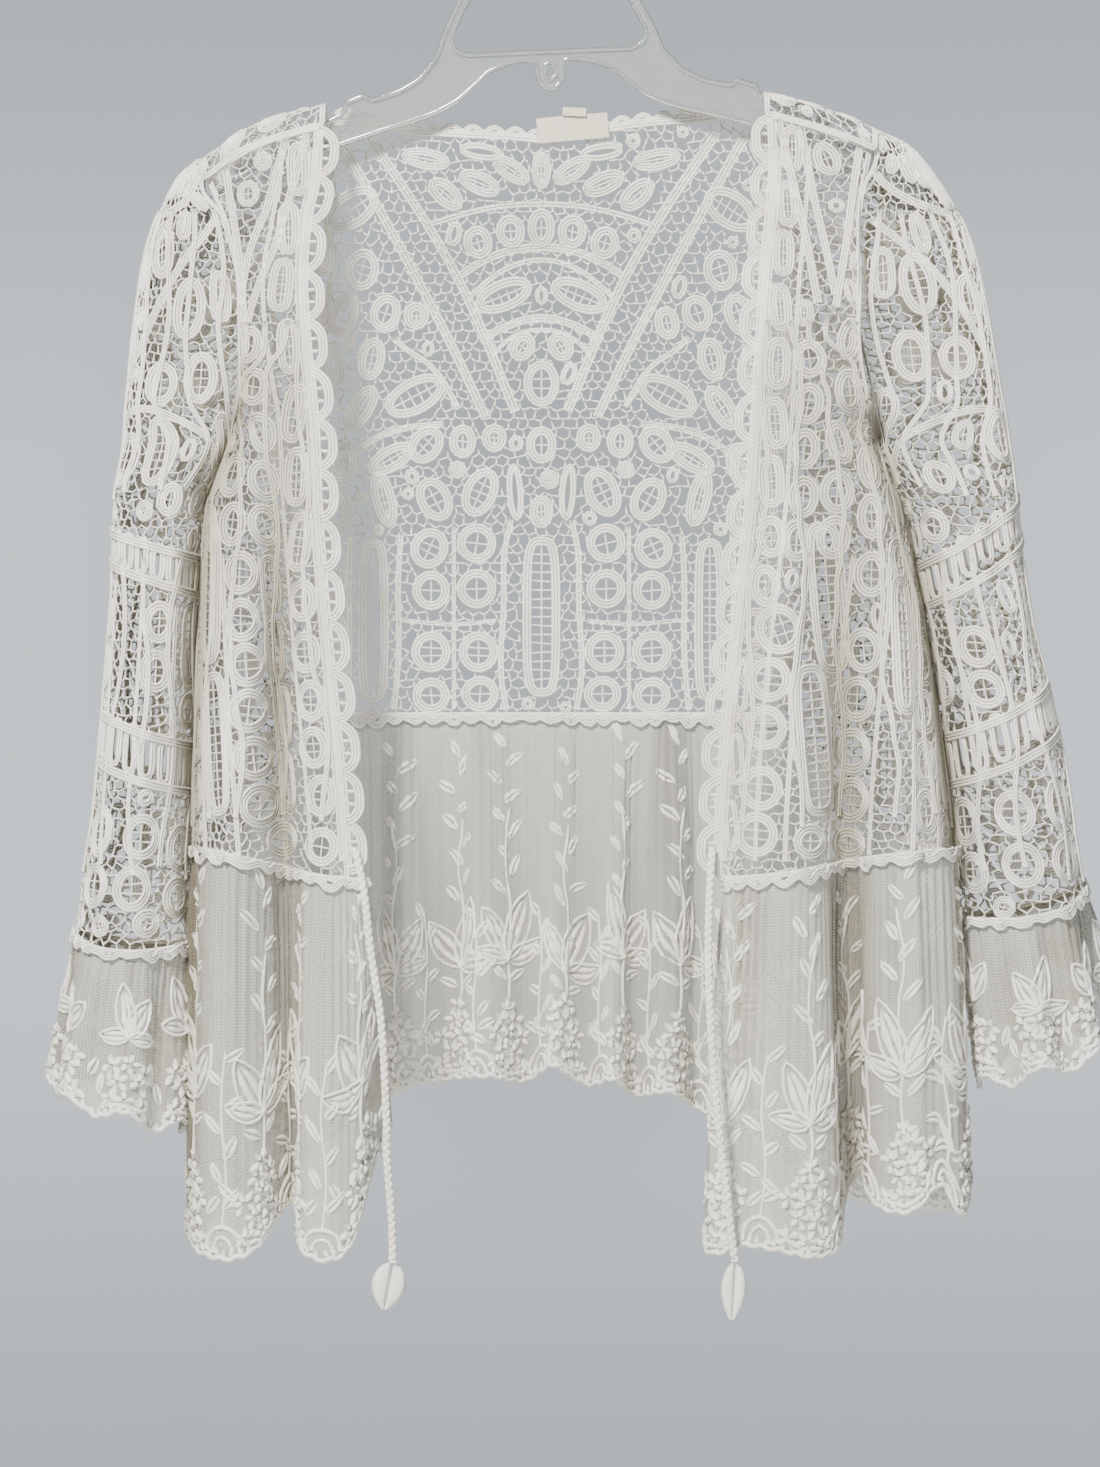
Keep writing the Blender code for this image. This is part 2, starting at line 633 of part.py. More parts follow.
def strip(name, points, normals, wide, shell):
    verts, faces = [], []
    total = sum((points[i + 1] - points[i]).length for i in range(len(points) - 1))
    run = 0.0
    for i, (p, out) in enumerate(zip(points, normals)):
        if i:
            run += (p - points[i - 1]).length
        bump = abs(sin(pi * run / shell)) ** 0.6 if total else 0
        edge = wide * (0.55 + 0.45 * bump)
        verts += [p + out * SEAM * 2, p + out * edge]
    for i in range(len(points) - 1):
        faces.append((2 * i, 2 * i + 1, 2 * i + 3, 2 * i + 2))
    return add(name, [tuple(v) for v in verts], faces, COTTON, EDGE_T)


KNOT = {}
for side, word in ((LEFT, "left"), (RIGHT, "right")):
    points, normals = [], []
    high = ridge(side, NECK_X[side] + 1) - SEAM_DROP - 1.5
    for i in range(57):
        z = high + (-603 - high) * i / 56
        edge = read(SIDE[side], 1, z)
        here = Vector(front_point(side, edge, z))
        near = Vector(front_point(side, edge + 2, z))
        out = (here - near).normalized()
        points.append(here + out * 0.5)
        normals.append(Vector((out.x, out.y * 0.5, 0)).normalized())
    strip("edging_" + word, points, normals, EDGE_W, SHELL)
    outward = normals[-3].cross(Vector((0, 0, side)))
    outward = outward if outward.y < 0 else -outward
    KNOT[side] = points[-3] + normals[-3] * 4 + outward * ((EDGE_T + CORD_D) / 2 + 0.45)

points, normals = [], []
for i in range(49):
    f = i / 48 * (len(NECK) - 1)
    k = min(len(NECK) - 2, int(f))
    s = NECK[k][0] + (NECK[k + 1][0] - NECK[k][0]) * (f - k)
    t = NECK[k][1] + (NECK[k + 1][1] - NECK[k][1]) * (f - k)
    s = s * 0.965
    points.append(Vector(back_point(s, t)) + Vector((0, 0, 0.6)))
    normals.append(Vector((0, 0, 1)))
strip("edging_neck", points, normals, 7, 12)


# Tie cords of crochet, sewn on the edging: height, x and y of the run below the knot.
TIES = {
    LEFT: [(-612, -98.5, -52), (-646, -94.4, -54), (-683, -89, -53), (-737, -86.2, -50),
           (-755, -86.2, -49), (-791, -83.5, -48), (-815, -83, -47)],
    RIGHT: [(-614, 89.5, -52), (-647, 88.5, -60), (-690, 90, -62), (-728, 93, -63),
            (-764, 97, -63), (-806, 102, -62), (-812, 103, -61)],
}
TIE_END = {LEFT: (-5, 26, 18), RIGHT: (-2, 32, 13)}


def cord(name, path):
    data = bpy.data.curves.new(name, "CURVE")
    data.dimensions = "3D"
    data.bevel_depth = CORD_D / 2 * MM
    data.bevel_resolution = 2
    data.use_fill_caps = True
    run = data.splines.new("POLY")
    run.points.add(len(path) - 1)
    for spot, place in zip(run.points, path):
        spot.co = (*(Vector(place) * MM), 1)
    data.materials.append(COTTON)
    made = bpy.data.objects.new(name, data)
    room.objects.link(made)
    return made


for side, word in ((LEFT, "left"), (RIGHT, "right")):
    knot = KNOT[side]
    rows = [(knot.z, knot.x, knot.y)] + TIES[side]
    path = []
    for i in range(18):
        z = rows[0][0] + (rows[-1][0] - rows[0][0]) * i / 17
        path.append((read(rows, 1, z), read(rows, 2, z), z))
    cord("tie_cord_" + word, path)
    lean, long, wide = TIE_END[side]
    x, y, z = path[-1]
    verts, faces = [], []
    count = 10
    for thick in (-1.6, 1.6):
        verts.append((x + lean / 2, y + thick * 1.3, z - SEAM - long / 2))
        for i in range(count):
            turn = 2 * pi * i / count
            a, b = sin(turn), cos(turn)
            verts.append((x + wide / 2 * a * (1 - 0.35 * b) + lean * (0.5 - 0.5 * b), y + thick * 0.6,
                          z - SEAM - long / 2 + long / 2 * b))
    for i in range(count):
        j = (i + 1) % count
        faces.append((0, 1 + j, 1 + i))
        faces.append((count + 1, count + 2 + i, count + 2 + j))
        faces.append((1 + i, 1 + j, count + 2 + j, count + 2 + i))
    add("tie_end_" + word, verts, faces, COTTON)


# Bare label, sewn at the back neck and standing in front of its edge.
LABEL = (15.5, -186, 40, 14, 0.8)


def block(name, centre, size, skin, turn=0.0):
    c, s = cos(radians(turn)), sin(radians(turn))
    verts = []
    for dz in (-1, 1):
        for dx, dy in ((-1, -1), (1, -1), (1, 1), (-1, 1)):
            a, b = dx * size[0] / 2, dz * size[2] / 2
            verts.append((centre[0] + a * c - b * s, centre[1] + dy * size[1] / 2, centre[2] + a * s + b * c))
    faces = [(3, 2, 1, 0), (4, 5, 6, 7), (0, 1, 5, 4), (1, 2, 6, 5), (2, 3, 7, 6), (3, 0, 4, 7)]
    return add(name, verts, faces, skin)


block("neck_label", (LABEL[0], 7.6, LABEL[1]), (LABEL[2], LABEL[4], LABEL[3]), TAPE, 5)
block("size_label", (LABEL[0] + 1, 5.9, LABEL[1] + 8.7), (13, 1.6, 4.6), TAPE, -3)

# Hanger of clear plastic: half outline from the crown to the arm end and back below.
HANG_T = 6
TILT = radians(2.4)
CROWN = [(0, -87), (20, -88), (34, -92), (44, -101), (51, -116), (60, -134), (64.4, -146), (74, -157),
         (86, -163.5), (102, -167.5), (103, -163.5), (116, -168.5), (117, -174), (130, -180.5),
         (168, -202), (196, -218), (205, -225), (207, -231), (204, -237), (196, -236),
         (160, -214.5), (126, -195), (95, -186), (68, -178.7), (53, -172), (42, -163),
         (34, -155.8), (21, -151), (8.5, -150), (8.2, -160), (5, -165.5), (0, -167)]
WINDOW = [(0, -95), (18, -96), (30, -99.5), (38, -107), (46, -120), (54, -136), (51, -142.5), (44, -144), (0, -144)]
SLOT = [(0, -152), (2.2, -153.5), (2.2, -158), (0, -160)]


def both(half, sign=1):
    return half + [(-x, z) for x, z in half[::-1] if x != 0]


def hanger():
    rim, window, slot = both(CROWN), both(WINDOW), both(SLOT)
    points, edges = [], []
    for loop in (rim, window, slot):
        first = len(points)
        points += loop
        edges += [(first + i, first + (i + 1) % len(loop)) for i in range(len(loop))]
    flat, sides, tris, *_ = delaunay_2d_cdt([Vector(p) for p in points], edges, [], 0, 1e-5)
    faces = []
    for tri in tris:
        mid = sum((flat[i] for i in tri), Vector((0, 0))) / len(tri)
        if inside(mid, rim) and not inside(mid, window) and not inside(mid, slot):
            faces.append(tuple(tri))
    verts = []
    for x, z in flat:
        dz = z + 87
        verts.append((x * cos(TILT) - dz * sin(TILT), 0, x * sin(TILT) + dz * cos(TILT) - 87))
    return add("hanger", verts, faces, CLEAR, HANG_T)


hanger()

# Hook of bent steel wire, screwed into the crown of the hanger.
HOOK_R = 20
WIRE_D = 4
path = [(0, 0, -86.4), (0, 0, -70), (0, 0, -56), (2, 0, -48), (8, 0, -41.5)]
for i in range(17):
    turn = radians(-50 + 250 * i / 16)
    path.append((HOOK_R * cos(turn), 0, -HOOK_R + WIRE_D / 2 + HOOK_R * sin(turn)))
wire = cord("hanger_hook", path)
wire.data.bevel_depth = WIRE_D / 2 * MM
wire.data.materials.clear()
wire.data.materials.append(STEEL)
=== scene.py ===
import json
import random
from math import sin, cos, pi, sqrt, radians, exp

import bpy
import numpy as np
from mathutils import Vector
from mathutils.geometry import delaunay_2d_cdt
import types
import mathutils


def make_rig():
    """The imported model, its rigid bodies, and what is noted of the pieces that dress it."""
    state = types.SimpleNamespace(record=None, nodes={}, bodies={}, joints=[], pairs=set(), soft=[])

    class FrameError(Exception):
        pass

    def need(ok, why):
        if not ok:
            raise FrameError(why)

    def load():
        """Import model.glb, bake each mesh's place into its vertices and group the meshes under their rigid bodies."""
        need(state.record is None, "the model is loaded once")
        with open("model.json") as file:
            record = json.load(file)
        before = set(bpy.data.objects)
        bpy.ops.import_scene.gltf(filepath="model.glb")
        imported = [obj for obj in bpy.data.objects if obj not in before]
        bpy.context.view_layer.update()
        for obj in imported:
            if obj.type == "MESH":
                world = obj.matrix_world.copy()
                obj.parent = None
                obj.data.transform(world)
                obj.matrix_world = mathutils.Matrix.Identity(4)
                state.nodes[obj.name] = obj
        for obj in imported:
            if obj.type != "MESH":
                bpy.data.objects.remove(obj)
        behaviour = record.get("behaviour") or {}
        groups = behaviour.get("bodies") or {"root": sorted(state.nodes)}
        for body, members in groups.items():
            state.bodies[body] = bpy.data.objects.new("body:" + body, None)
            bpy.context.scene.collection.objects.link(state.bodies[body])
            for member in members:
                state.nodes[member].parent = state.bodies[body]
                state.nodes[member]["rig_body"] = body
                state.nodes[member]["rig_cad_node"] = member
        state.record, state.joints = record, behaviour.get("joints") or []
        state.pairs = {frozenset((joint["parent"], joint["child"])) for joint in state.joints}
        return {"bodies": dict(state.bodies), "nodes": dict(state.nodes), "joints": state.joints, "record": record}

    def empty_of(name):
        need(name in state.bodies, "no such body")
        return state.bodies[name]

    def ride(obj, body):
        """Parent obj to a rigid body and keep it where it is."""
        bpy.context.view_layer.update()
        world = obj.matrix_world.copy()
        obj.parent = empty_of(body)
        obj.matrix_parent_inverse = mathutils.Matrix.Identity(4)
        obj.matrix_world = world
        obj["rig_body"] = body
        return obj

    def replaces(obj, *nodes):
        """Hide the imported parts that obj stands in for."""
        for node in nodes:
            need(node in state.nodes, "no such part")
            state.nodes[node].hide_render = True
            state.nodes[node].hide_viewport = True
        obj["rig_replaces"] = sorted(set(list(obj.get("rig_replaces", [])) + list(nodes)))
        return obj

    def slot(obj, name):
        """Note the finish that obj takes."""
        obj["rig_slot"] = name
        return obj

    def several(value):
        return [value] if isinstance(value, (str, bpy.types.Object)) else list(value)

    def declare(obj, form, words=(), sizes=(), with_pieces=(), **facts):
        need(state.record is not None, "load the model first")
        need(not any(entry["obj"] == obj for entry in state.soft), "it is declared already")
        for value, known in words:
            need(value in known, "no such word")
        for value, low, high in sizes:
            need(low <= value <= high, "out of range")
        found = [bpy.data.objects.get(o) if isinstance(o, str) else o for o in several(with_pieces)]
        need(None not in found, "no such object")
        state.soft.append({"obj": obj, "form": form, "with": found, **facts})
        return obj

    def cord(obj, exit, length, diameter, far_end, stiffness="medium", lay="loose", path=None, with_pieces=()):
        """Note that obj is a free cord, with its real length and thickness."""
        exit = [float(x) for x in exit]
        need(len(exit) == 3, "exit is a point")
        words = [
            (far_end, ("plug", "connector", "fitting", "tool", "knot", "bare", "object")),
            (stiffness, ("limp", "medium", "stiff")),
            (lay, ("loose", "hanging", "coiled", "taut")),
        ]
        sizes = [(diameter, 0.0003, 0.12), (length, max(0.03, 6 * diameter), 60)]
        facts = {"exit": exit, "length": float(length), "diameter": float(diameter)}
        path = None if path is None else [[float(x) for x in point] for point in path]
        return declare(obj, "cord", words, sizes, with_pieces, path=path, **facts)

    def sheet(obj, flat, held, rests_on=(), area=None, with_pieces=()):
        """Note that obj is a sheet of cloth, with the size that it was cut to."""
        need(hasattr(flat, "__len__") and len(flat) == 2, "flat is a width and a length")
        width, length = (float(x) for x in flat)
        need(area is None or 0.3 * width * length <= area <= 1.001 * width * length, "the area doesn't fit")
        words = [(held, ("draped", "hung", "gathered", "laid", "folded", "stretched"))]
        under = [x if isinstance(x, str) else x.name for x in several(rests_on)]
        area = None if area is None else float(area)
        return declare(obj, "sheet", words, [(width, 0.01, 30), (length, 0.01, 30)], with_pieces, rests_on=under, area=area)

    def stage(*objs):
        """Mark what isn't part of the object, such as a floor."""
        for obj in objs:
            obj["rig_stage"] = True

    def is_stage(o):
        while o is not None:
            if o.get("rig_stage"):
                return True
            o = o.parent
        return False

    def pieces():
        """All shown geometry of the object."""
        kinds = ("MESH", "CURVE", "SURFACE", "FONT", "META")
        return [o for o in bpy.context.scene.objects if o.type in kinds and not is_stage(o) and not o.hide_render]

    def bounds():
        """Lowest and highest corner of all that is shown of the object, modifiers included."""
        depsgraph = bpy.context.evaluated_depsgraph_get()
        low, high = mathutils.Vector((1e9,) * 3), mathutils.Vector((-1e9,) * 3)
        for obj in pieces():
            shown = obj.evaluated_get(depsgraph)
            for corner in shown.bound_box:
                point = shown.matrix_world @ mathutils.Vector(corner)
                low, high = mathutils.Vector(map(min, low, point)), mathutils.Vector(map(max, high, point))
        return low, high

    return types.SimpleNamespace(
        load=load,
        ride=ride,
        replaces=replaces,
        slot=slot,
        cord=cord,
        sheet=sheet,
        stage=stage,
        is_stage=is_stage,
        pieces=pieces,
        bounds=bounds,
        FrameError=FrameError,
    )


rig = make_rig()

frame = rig.load()
cad_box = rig.bounds()

# The camera stands level, 1.8 m in front of the garment, at half the photograph's height.
camera = bpy.data.objects.new("camera", bpy.data.cameras.new("camera"))
bpy.context.scene.collection.objects.link(camera)
camera.location = (0.0028, -1.8, -0.5265)
camera.rotation_euler = (radians(90), 0, 0)
camera.data.lens = 78.9
camera.data.sensor_width = 36
bpy.context.scene.camera = camera

# Tie cords: cotton cord braided of three strands, sewn on the edging at the waist. They hang free
# and end in a padded leaf of satin stitch.
MM = 0.001
LEFT, RIGHT = -1, 1
SIDES = ((LEFT, "left"), (RIGHT, "right"))
TIES = {
    LEFT: [(-588.2, -103.8, -46.4), (-612, -98.5, -52), (-646, -94.4, -54), (-683, -89, -53),
           (-737, -86.2, -50), (-755, -86.2, -49), (-791, -83.5, -48), (-815, -83, -47)],
    RIGHT: [(-588, 91.4, -45.9), (-614, 89.5, -52), (-647, 88.5, -60), (-690, 90, -62),
            (-728, 93, -63), (-764, 97, -63), (-806, 102, -62), (-812, 103, -61)],
}
TIE_LEAF = {LEFT: (-5, 26, 18), RIGHT: (-2, 32, 13)}
CORD_D = 4.5
STRAND = 1.1
LAY = 13


def node(tree, kind, settings=None, links=None, **values):
    """Adds a node with its settings, its links and its socket values."""
    made = tree.nodes.new(kind)
    for key, value in (settings or {}).items():
        setattr(made, key, value)
    for key, value in values.items():
        made.inputs[key.replace("_", " ")].default_value = value
    for key, source in (links or {}).items():
        tree.links.new(source, made.inputs[key])
    return made


def srgb(code):
    """sRGB hex to the renderer's linear colour."""
    parts = [int(code[i:i + 2], 16) / 255 for i in (1, 3, 5)]
    return (*[c / 12.92 if c <= 0.04045 else ((c + 0.055) / 1.055) ** 2.4 for c in parts], 1.0)


def finish(name, **values):
    """A material, its node tree and its surface, with the values of the surface."""
    made = bpy.data.materials.new(name)
    made.use_nodes = True
    base = made.node_tree.nodes["Principled BSDF"]
    for key, value in values.items():
        base.inputs[key.replace("_", " ")].default_value = value
    return made, made.node_tree, base


def relief(tree, base, height, strength, distance):
    bump = node(tree, "ShaderNodeBump", None, {"Height": height}, Strength=strength, Distance=distance)
    tree.links.new(bump.outputs["Normal"], base.inputs["Normal"])


def tinted(tree, base, share, light, deep):
    """Colours the surface light where the share is 0 and deep where it is 1."""
    mix = node(tree, "ShaderNodeMix", {"data_type": "RGBA"}, {"Factor": share}, A=light, B=deep)
    tree.links.new(mix.outputs["Result"], base.inputs["Base Color"])
    return mix


# Mercerised cotton, crocheted: dry and matt and white, with painted shade that turns it dark tan where the mesh's
# shade attribute marks a crease, a hollow or the inward side of the yarn.
# Its plies, 0.7 mm apart, show as a fine relief.
def cotton(name, light, deep, ply):
    made, tree, base = finish(name, Roughness=0.86, Sheen_Weight=0.2, Sheen_Roughness=0.5)
    spot = node(tree, "ShaderNodeTexCoord").outputs["Object"]
    cloud = node(tree, "ShaderNodeTexNoise", None, {"Vector": spot}, Scale=28.0, Detail=3.0)
    ramp = node(tree, "ShaderNodeValToRGB", None, {"Fac": cloud.outputs["Fac"]})
    for stop, at, code in zip(ramp.color_ramp.elements, (0.35, 0.62), (deep, light)):
        stop.position, stop.color = at, srgb(code)
    painted_shade = node(tree, "ShaderNodeAttribute", {"attribute_name": "painted_shade"})
    # Painted shade: the colour mixes toward dark tan #A19A84 by the per-point shade attribute. The noise ramp fed in
    # below is the yarn's own uneven tone.
    mix = tinted(tree, base, painted_shade.outputs["Fac"], srgb(light), srgb("#A19A84"))
    tree.links.new(ramp.outputs["Color"], mix.inputs["A"])
    plies = node(tree, "ShaderNodeTexNoise", None, {"Vector": spot}, Scale=1.0 / (ply * MM), Detail=2.0)
    relief(tree, base, plies.outputs["Fac"], 0.35, 0.0005)
    return made


YARN = cotton("crocheted_cotton", "#F6F4EE", "#EEEAE0", 0.7)
SATIN = cotton("satin_stitched_cotton", "#F8F6F0", "#F0EDE4", 0.45)


def corners(count, first=0):
    """Section of a round yarn."""
    return [(cos(radians(a)), sin(radians(a))) for a in range(first, first + 360, 360 // count)]


ROUND, THIN = corners(6), corners(3, 90)
FOUR = [(-1, 0), (0, 1), (1, 0), (0, -1)]
PAD = [(-1, 0), (-0.62, 0.85), (0, 1), (0.62, 0.85), (1, 0), (0, -0.95)]
LEAF = [(-1, 0), (-0.6, 0.8), (0, 1), (0.6, 0.8), (1, 0), (0.6, -0.8), (0, -1), (-0.6, -0.8)]


def unit(rows):
    return rows / (np.linalg.norm(rows, axis=-1, keepdims=True) + 1e-9)


def turned(u, v, turn):
    c, s = cos(radians(turn)), sin(radians(turn))
    return u * c - v * s, u * s + v * c


def tangent(place, shut=False):
    return np.roll(place, -1, 0) - np.roll(place, 1, 0) if shut else np.gradient(place, axis=0)


def toward(y, count):
    """The same direction, forwards (-1) or backwards (1), for each point."""
    return np.tile((0.0, float(y), 0.0), (count, 1))


def new_piece(name, spots, faces, skin, painted_shade=None, smooth_faces=True):
    """A mesh that rides with the garment: points in mm, and a painted shade for each point, higher where it lies in a
    hollow.
    """
    mesh = bpy.data.meshes.new(name)
    mesh.from_pydata((np.asarray(spots) * MM).tolist(), [], faces)
    if painted_shade is not None:
        mesh.attributes.new("painted_shade", "FLOAT", "POINT").data.foreach_set("value", painted_shade)
    mesh.materials.append(skin)
    mesh.polygons.foreach_set("use_smooth", [smooth_faces] * len(mesh.polygons))
    made = bpy.data.objects.new(name, mesh)
    bpy.context.scene.collection.objects.link(made)
    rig.ride(made, "root")
    return made


class Yarn:
    """Gathers the runs of yarn of one piece into one mesh."""

    def __init__(self):
        self.spots, self.quads, self.ends, self.inner, self.count = [], [], [], [], 0

    def run(self, place, up, section, half, high, shut=False):
        n, k = len(place), len(section)
        if n < 2:
            return
        side = unit(np.cross(up, unit(tangent(place, shut))))
        half, high = [np.broadcast_to(np.asarray(size, float), (n,))[:, None] for size in (half, high)]
        spots = np.stack([place + side * half * a + up * high * b for a, b in section], 1)
        self.spots.append(spots.reshape(-1, 3))
        # Each section point's share that faces inward; the pieces' depth functions turn it into painted shade.
        self.inner.append(np.tile([0.5 - 0.5 * b for a, b in section], n))
        i, j = np.arange(n if shut else n - 1)[:, None], np.arange(k)[None, :]
        m = (i + 1) % n
        quads = np.stack([i * k + j, m * k + j, m * k + (j + 1) % k, i * k + (j + 1) % k], -1)
        self.quads.append(quads.reshape(-1, 4) + self.count)
        if not shut:
            self.ends.append([self.count + q for q in range(k)])
            self.ends.append([self.count + (n - 1) * k + q for q in range(k)][::-1])
        self.count += n * k

    def tape(self, place, up, half, high=1.0, shut=False):
        """A crochet tape: cords side by side, three, two or one by its width."""
        side = unit(np.cross(up, tangent(place, shut)))
        rows = ((-0.69, 0.33), (0, 0.3), (0.69, 0.33)) if half >= 2 else ((-0.5, 0.5), (0.5, 0.5))
        for off, thick in rows if half >= 1.2 else ((0, 1.0),):
            self.run(place + side * off * half, up, FOUR, thick * half, thick * half * high, shut)

    def piece(self, name, skin, depth=None):
        spots, faces = np.concatenate(self.spots), np.concatenate(self.quads)[:, ::-1].tolist() + self.ends
        # Painted shade of each point, from the piece's depth function.
        painted_shade = None if depth is None else np.clip(depth(*spots.T, np.concatenate(self.inner)), 0, 0.9)
        return new_piece(name, spots, faces, skin, painted_shade)


def smooth(value):
    value = min(1.0, max(0.0, value))
    return value * value * (3 - 2 * value)


def read(rows, column, at):
    """Smooth reading of one column of a table whose first column falls from row to row."""
    if at >= rows[0][0]:
        return rows[0][column]
    if at <= rows[-1][0]:
        return rows[-1][column]
    i = max(j for j in range(len(rows) - 1) if rows[j][0] >= at)
    slope = []
    for j in (i, i + 1):
        a, b = rows[max(0, j - 1)], rows[min(len(rows) - 1, j + 1)]
        slope.append((b[column] - a[column]) / (b[0] - a[0]))
    x0, x1 = rows[i][0], rows[i + 1][0]
    h = x1 - x0
    t = (at - x0) / h
    return ((1 + 2 * t) * (1 - t) ** 2 * rows[i][column] + t * (1 - t) ** 2 * h * slope[0]
            + t * t * (3 - 2 * t) * rows[i + 1][column] + t * t * (t - 1) * h * slope[1])


def leaf_half(a, wide):
    return wide / 2 * np.sin(pi * a ** 0.85) ** 0.75


def leaf_shape(long, wide, turn, count):
    """Both halves of a stitched leaf: paths beside its vein, and their half widths."""
    a = np.linspace(0.02, 0.98, count)
    reach = leaf_half(a, wide)
    return [(np.stack(turned(way * (0.25 + reach / 2), a * long, turn), 1), reach / 2 * 1.02)
            for way in (-1, 1)]


def arc_length(points):
    return np.r_[0, np.cumsum(np.linalg.norm(np.diff(points, axis=0), axis=1))]


for side, word in SIDES:
    rows = TIES[side]
    drop = np.linspace(rows[0][0], rows[-1][0], 190)
    route = np.array([(read(rows, 1, z), read(rows, 2, z), z) for z in drop])
    run = arc_length(route)
    cord, tip = Yarn(), Yarn()
    for k in range(3):
        a = 2 * pi * run / LAY + 2 * pi * k / 3
        strand = route + np.stack([1.15 * np.sin(a), 0.75 * np.sin(2 * a), 0 * a], 1)
        cord.run(strand, toward(-1, len(route)), ROUND, STRAND, STRAND)
    cord = cord.piece("tie_cord_" + word, YARN)
    lean, long, wide = TIE_LEAF[side]
    x, y, z = route[-1]
    for flat, half in leaf_shape(long, wide, 180 + np.degrees(np.arctan2(lean, long)), 12):
        place = np.stack([x + flat[:, 0], np.full(len(flat), y), z - 0.3 + flat[:, 1]], 1)
        tip.run(place, toward(-1, len(place)), LEAF, half, 1.9 * (half / half.max()) ** 0.5)
    tip = tip.piece("tie_leaf_" + word, SATIN)
    for made, solid in ((cord, "tie_cord_"), (tip, "tie_end_")):
        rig.replaces(made, solid + word)
        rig.slot(made, "crochet_cotton")
    path = [tuple(float(v) * MM for v in p) for p in (*route[::6], route[-1])]
    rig.cord(cord, exit=path[0], length=round(float(run[-1]) * MM, 4), diameter=CORD_D * MM, far_end="fitting",
            stiffness="limp", lay="hanging", path=path, with_pieces=[tip])

# Back: one panel of machine crochet, tape 5 mm wide of three cords bent to rings, leaves and
# capsules, each with a web inside, joined by a net of bars. Its shoulders fold over the hanger to
# a seam on the front.
SIDE = {
    LEFT: [(-170, 127, 190), (-217, 128, 187.5), (-240, 132, 178), (-271, 134, 170.5),
           (-305, 132, 168), (-343, 128, 169), (-371, 126, 178), (-398, 125, 188),
           (-453, 121, 192), (-508, 116, 194.5), (-559, 111, 196), (-620, 107, 197)],
    RIGHT: [(-160, 125, 183), (-202, 128, 181), (-232, 126, 175), (-277, 121, 173.6),
            (-310, 119, 173), (-343, 117, 178), (-370, 115, 187), (-398, 113, 198),
            (-453, 107, 210), (-508, 101, 218), (-563, 97, 225), (-620, 95, 229.5)],
}
RIDGE = {LEFT: [(-100, -172.5), (-126, -175), (-165, -187), (-190, -204), (-210, -218)],
         RIGHT: [(-100, -165), (-126, -168.5), (-160, -178), (-184, -188), (-200, -198)]}
SHOULDER_X = {LEFT: 190, RIGHT: 184}
NECK_X = {LEFT: 124, RIGHT: 124}
RIDGE_R = 9
SEAM_DROP = 13
CORNER_X = 24
WAIST_SIDE = -590
WAIST_BACK = -516
TAPE, BAR = 2.7, 0.62


def ridge(side, x):
    return read(RIDGE[side], 1, -abs(x))


def closed(z):
    return smooth((-338 - z) / 30)


def front_level(side, x, z):
    fall = ridge(side, x) - SEAM_DROP - z
    return -RIDGE_R - 25 * smooth(fall / 120) - 8 * smooth((-300 - z) / 260)


def back_level(side, x, z):
    return RIDGE_R + 26 * smooth((ridge(side, x) - RIDGE_R - z) / 120)


def corner_length(side, z):
    edge = read(SIDE[side], 2, z)
    rise = abs(front_level(side, edge, z)) * closed(z) + 4 * (1 - closed(z))
    return pi / 2 * sqrt((CORNER_X ** 2 + rise ** 2) / 2)


def section(side, s, z, level):
    """Point across the body: flat level, then a round corner to the side seam or armhole."""
    start = read(SIDE[side], 2, z) - CORNER_X
    if s <= start:
        return s, level
    a = min(pi / 2, (s - start) / corner_length(side, z) * pi / 2)
    shut = closed(z)
    way = 1 if level > 0 else -1
    home = way * (0.5 * shut + (abs(level) - 4) * (1 - shut))
    return start + CORNER_X * sin(a), level + (home - level) * ((1 - shut) * sin(a) ** 2 + shut * (1 - cos(a)))


def body_edge(side, z):
    return read(SIDE[side], 2, z) - CORNER_X + corner_length(side, z)


def back_point(s, t):
    side = LEFT if s < 0 else RIGHT
    a = abs(s)
    top = ridge(side, a) - RIDGE_R
    if t <= top:
        level = back_level(side, a, t)
        if a < 60:
            level += (back_level(-side, a, t) - level) * (0.5 - a / 120)
        x, y = section(side, a, t, level)
        y += 2.5 * sin(a / 21 + 0.6 * side * min(1, a / 20)) * smooth((-300 - t) / 200) * smooth((150 - a) / 40)
        return side * x, y, t
    turn = (t - top) / RIDGE_R
    if turn < pi:
        return s, RIDGE_R * cos(turn), top + RIDGE_R * sin(turn)
    return s, -RIDGE_R, top - (turn - pi) * RIDGE_R


def waist(x):
    side = LEFT if x < 0 else RIGHT
    edge = read(SIDE[side], 2, WAIST_SIDE) - 6
    return WAIST_BACK + (WAIST_SIDE - WAIST_BACK) * smooth((abs(x) - 118) / (edge - 118))


class Cloth:
    """A surface read on a fine grid, so that yarn can be laid on it. It faces out along Y, 1 or -1."""

    def __init__(self, point, s0, s1, t0, t1, out, step=3.0):
        self.s0, self.t0 = s0, t0
        self.ns, self.nt = int((s1 - s0) / step) + 2, int((t1 - t0) / step) + 2
        self.ds, self.dt = (s1 - s0) / (self.ns - 1), (t1 - t0) / (self.nt - 1)
        self.grid = np.array([[point(s0 + i * self.ds, t0 + j * self.dt) for j in range(self.nt)]
                              for i in range(self.ns)], float)
        normal = unit(np.cross(np.gradient(self.grid, axis=0), np.gradient(self.grid, axis=1)))
        self.normal = normal if normal[..., 1].mean() * out > 0 else -normal

    def at(self, flat, lift=0.0):
        f, g = (flat[:, 0] - self.s0) / self.ds, (flat[:, 1] - self.t0) / self.dt
        i, j = np.clip(f.astype(int), 0, self.ns - 2), np.clip(g.astype(int), 0, self.nt - 2)
        f, g = np.clip(f - i, -1, 2)[:, None], np.clip(g - j, -1, 2)[:, None]
        place, normal = [(field[i, j] * (1 - f) + field[i + 1, j] * f) * (1 - g)
                         + (field[i, j + 1] * (1 - f) + field[i + 1, j + 1] * f) * g
                         for field in (self.grid, self.normal)]
        normal = unit(normal)
        return place + normal * lift, normal


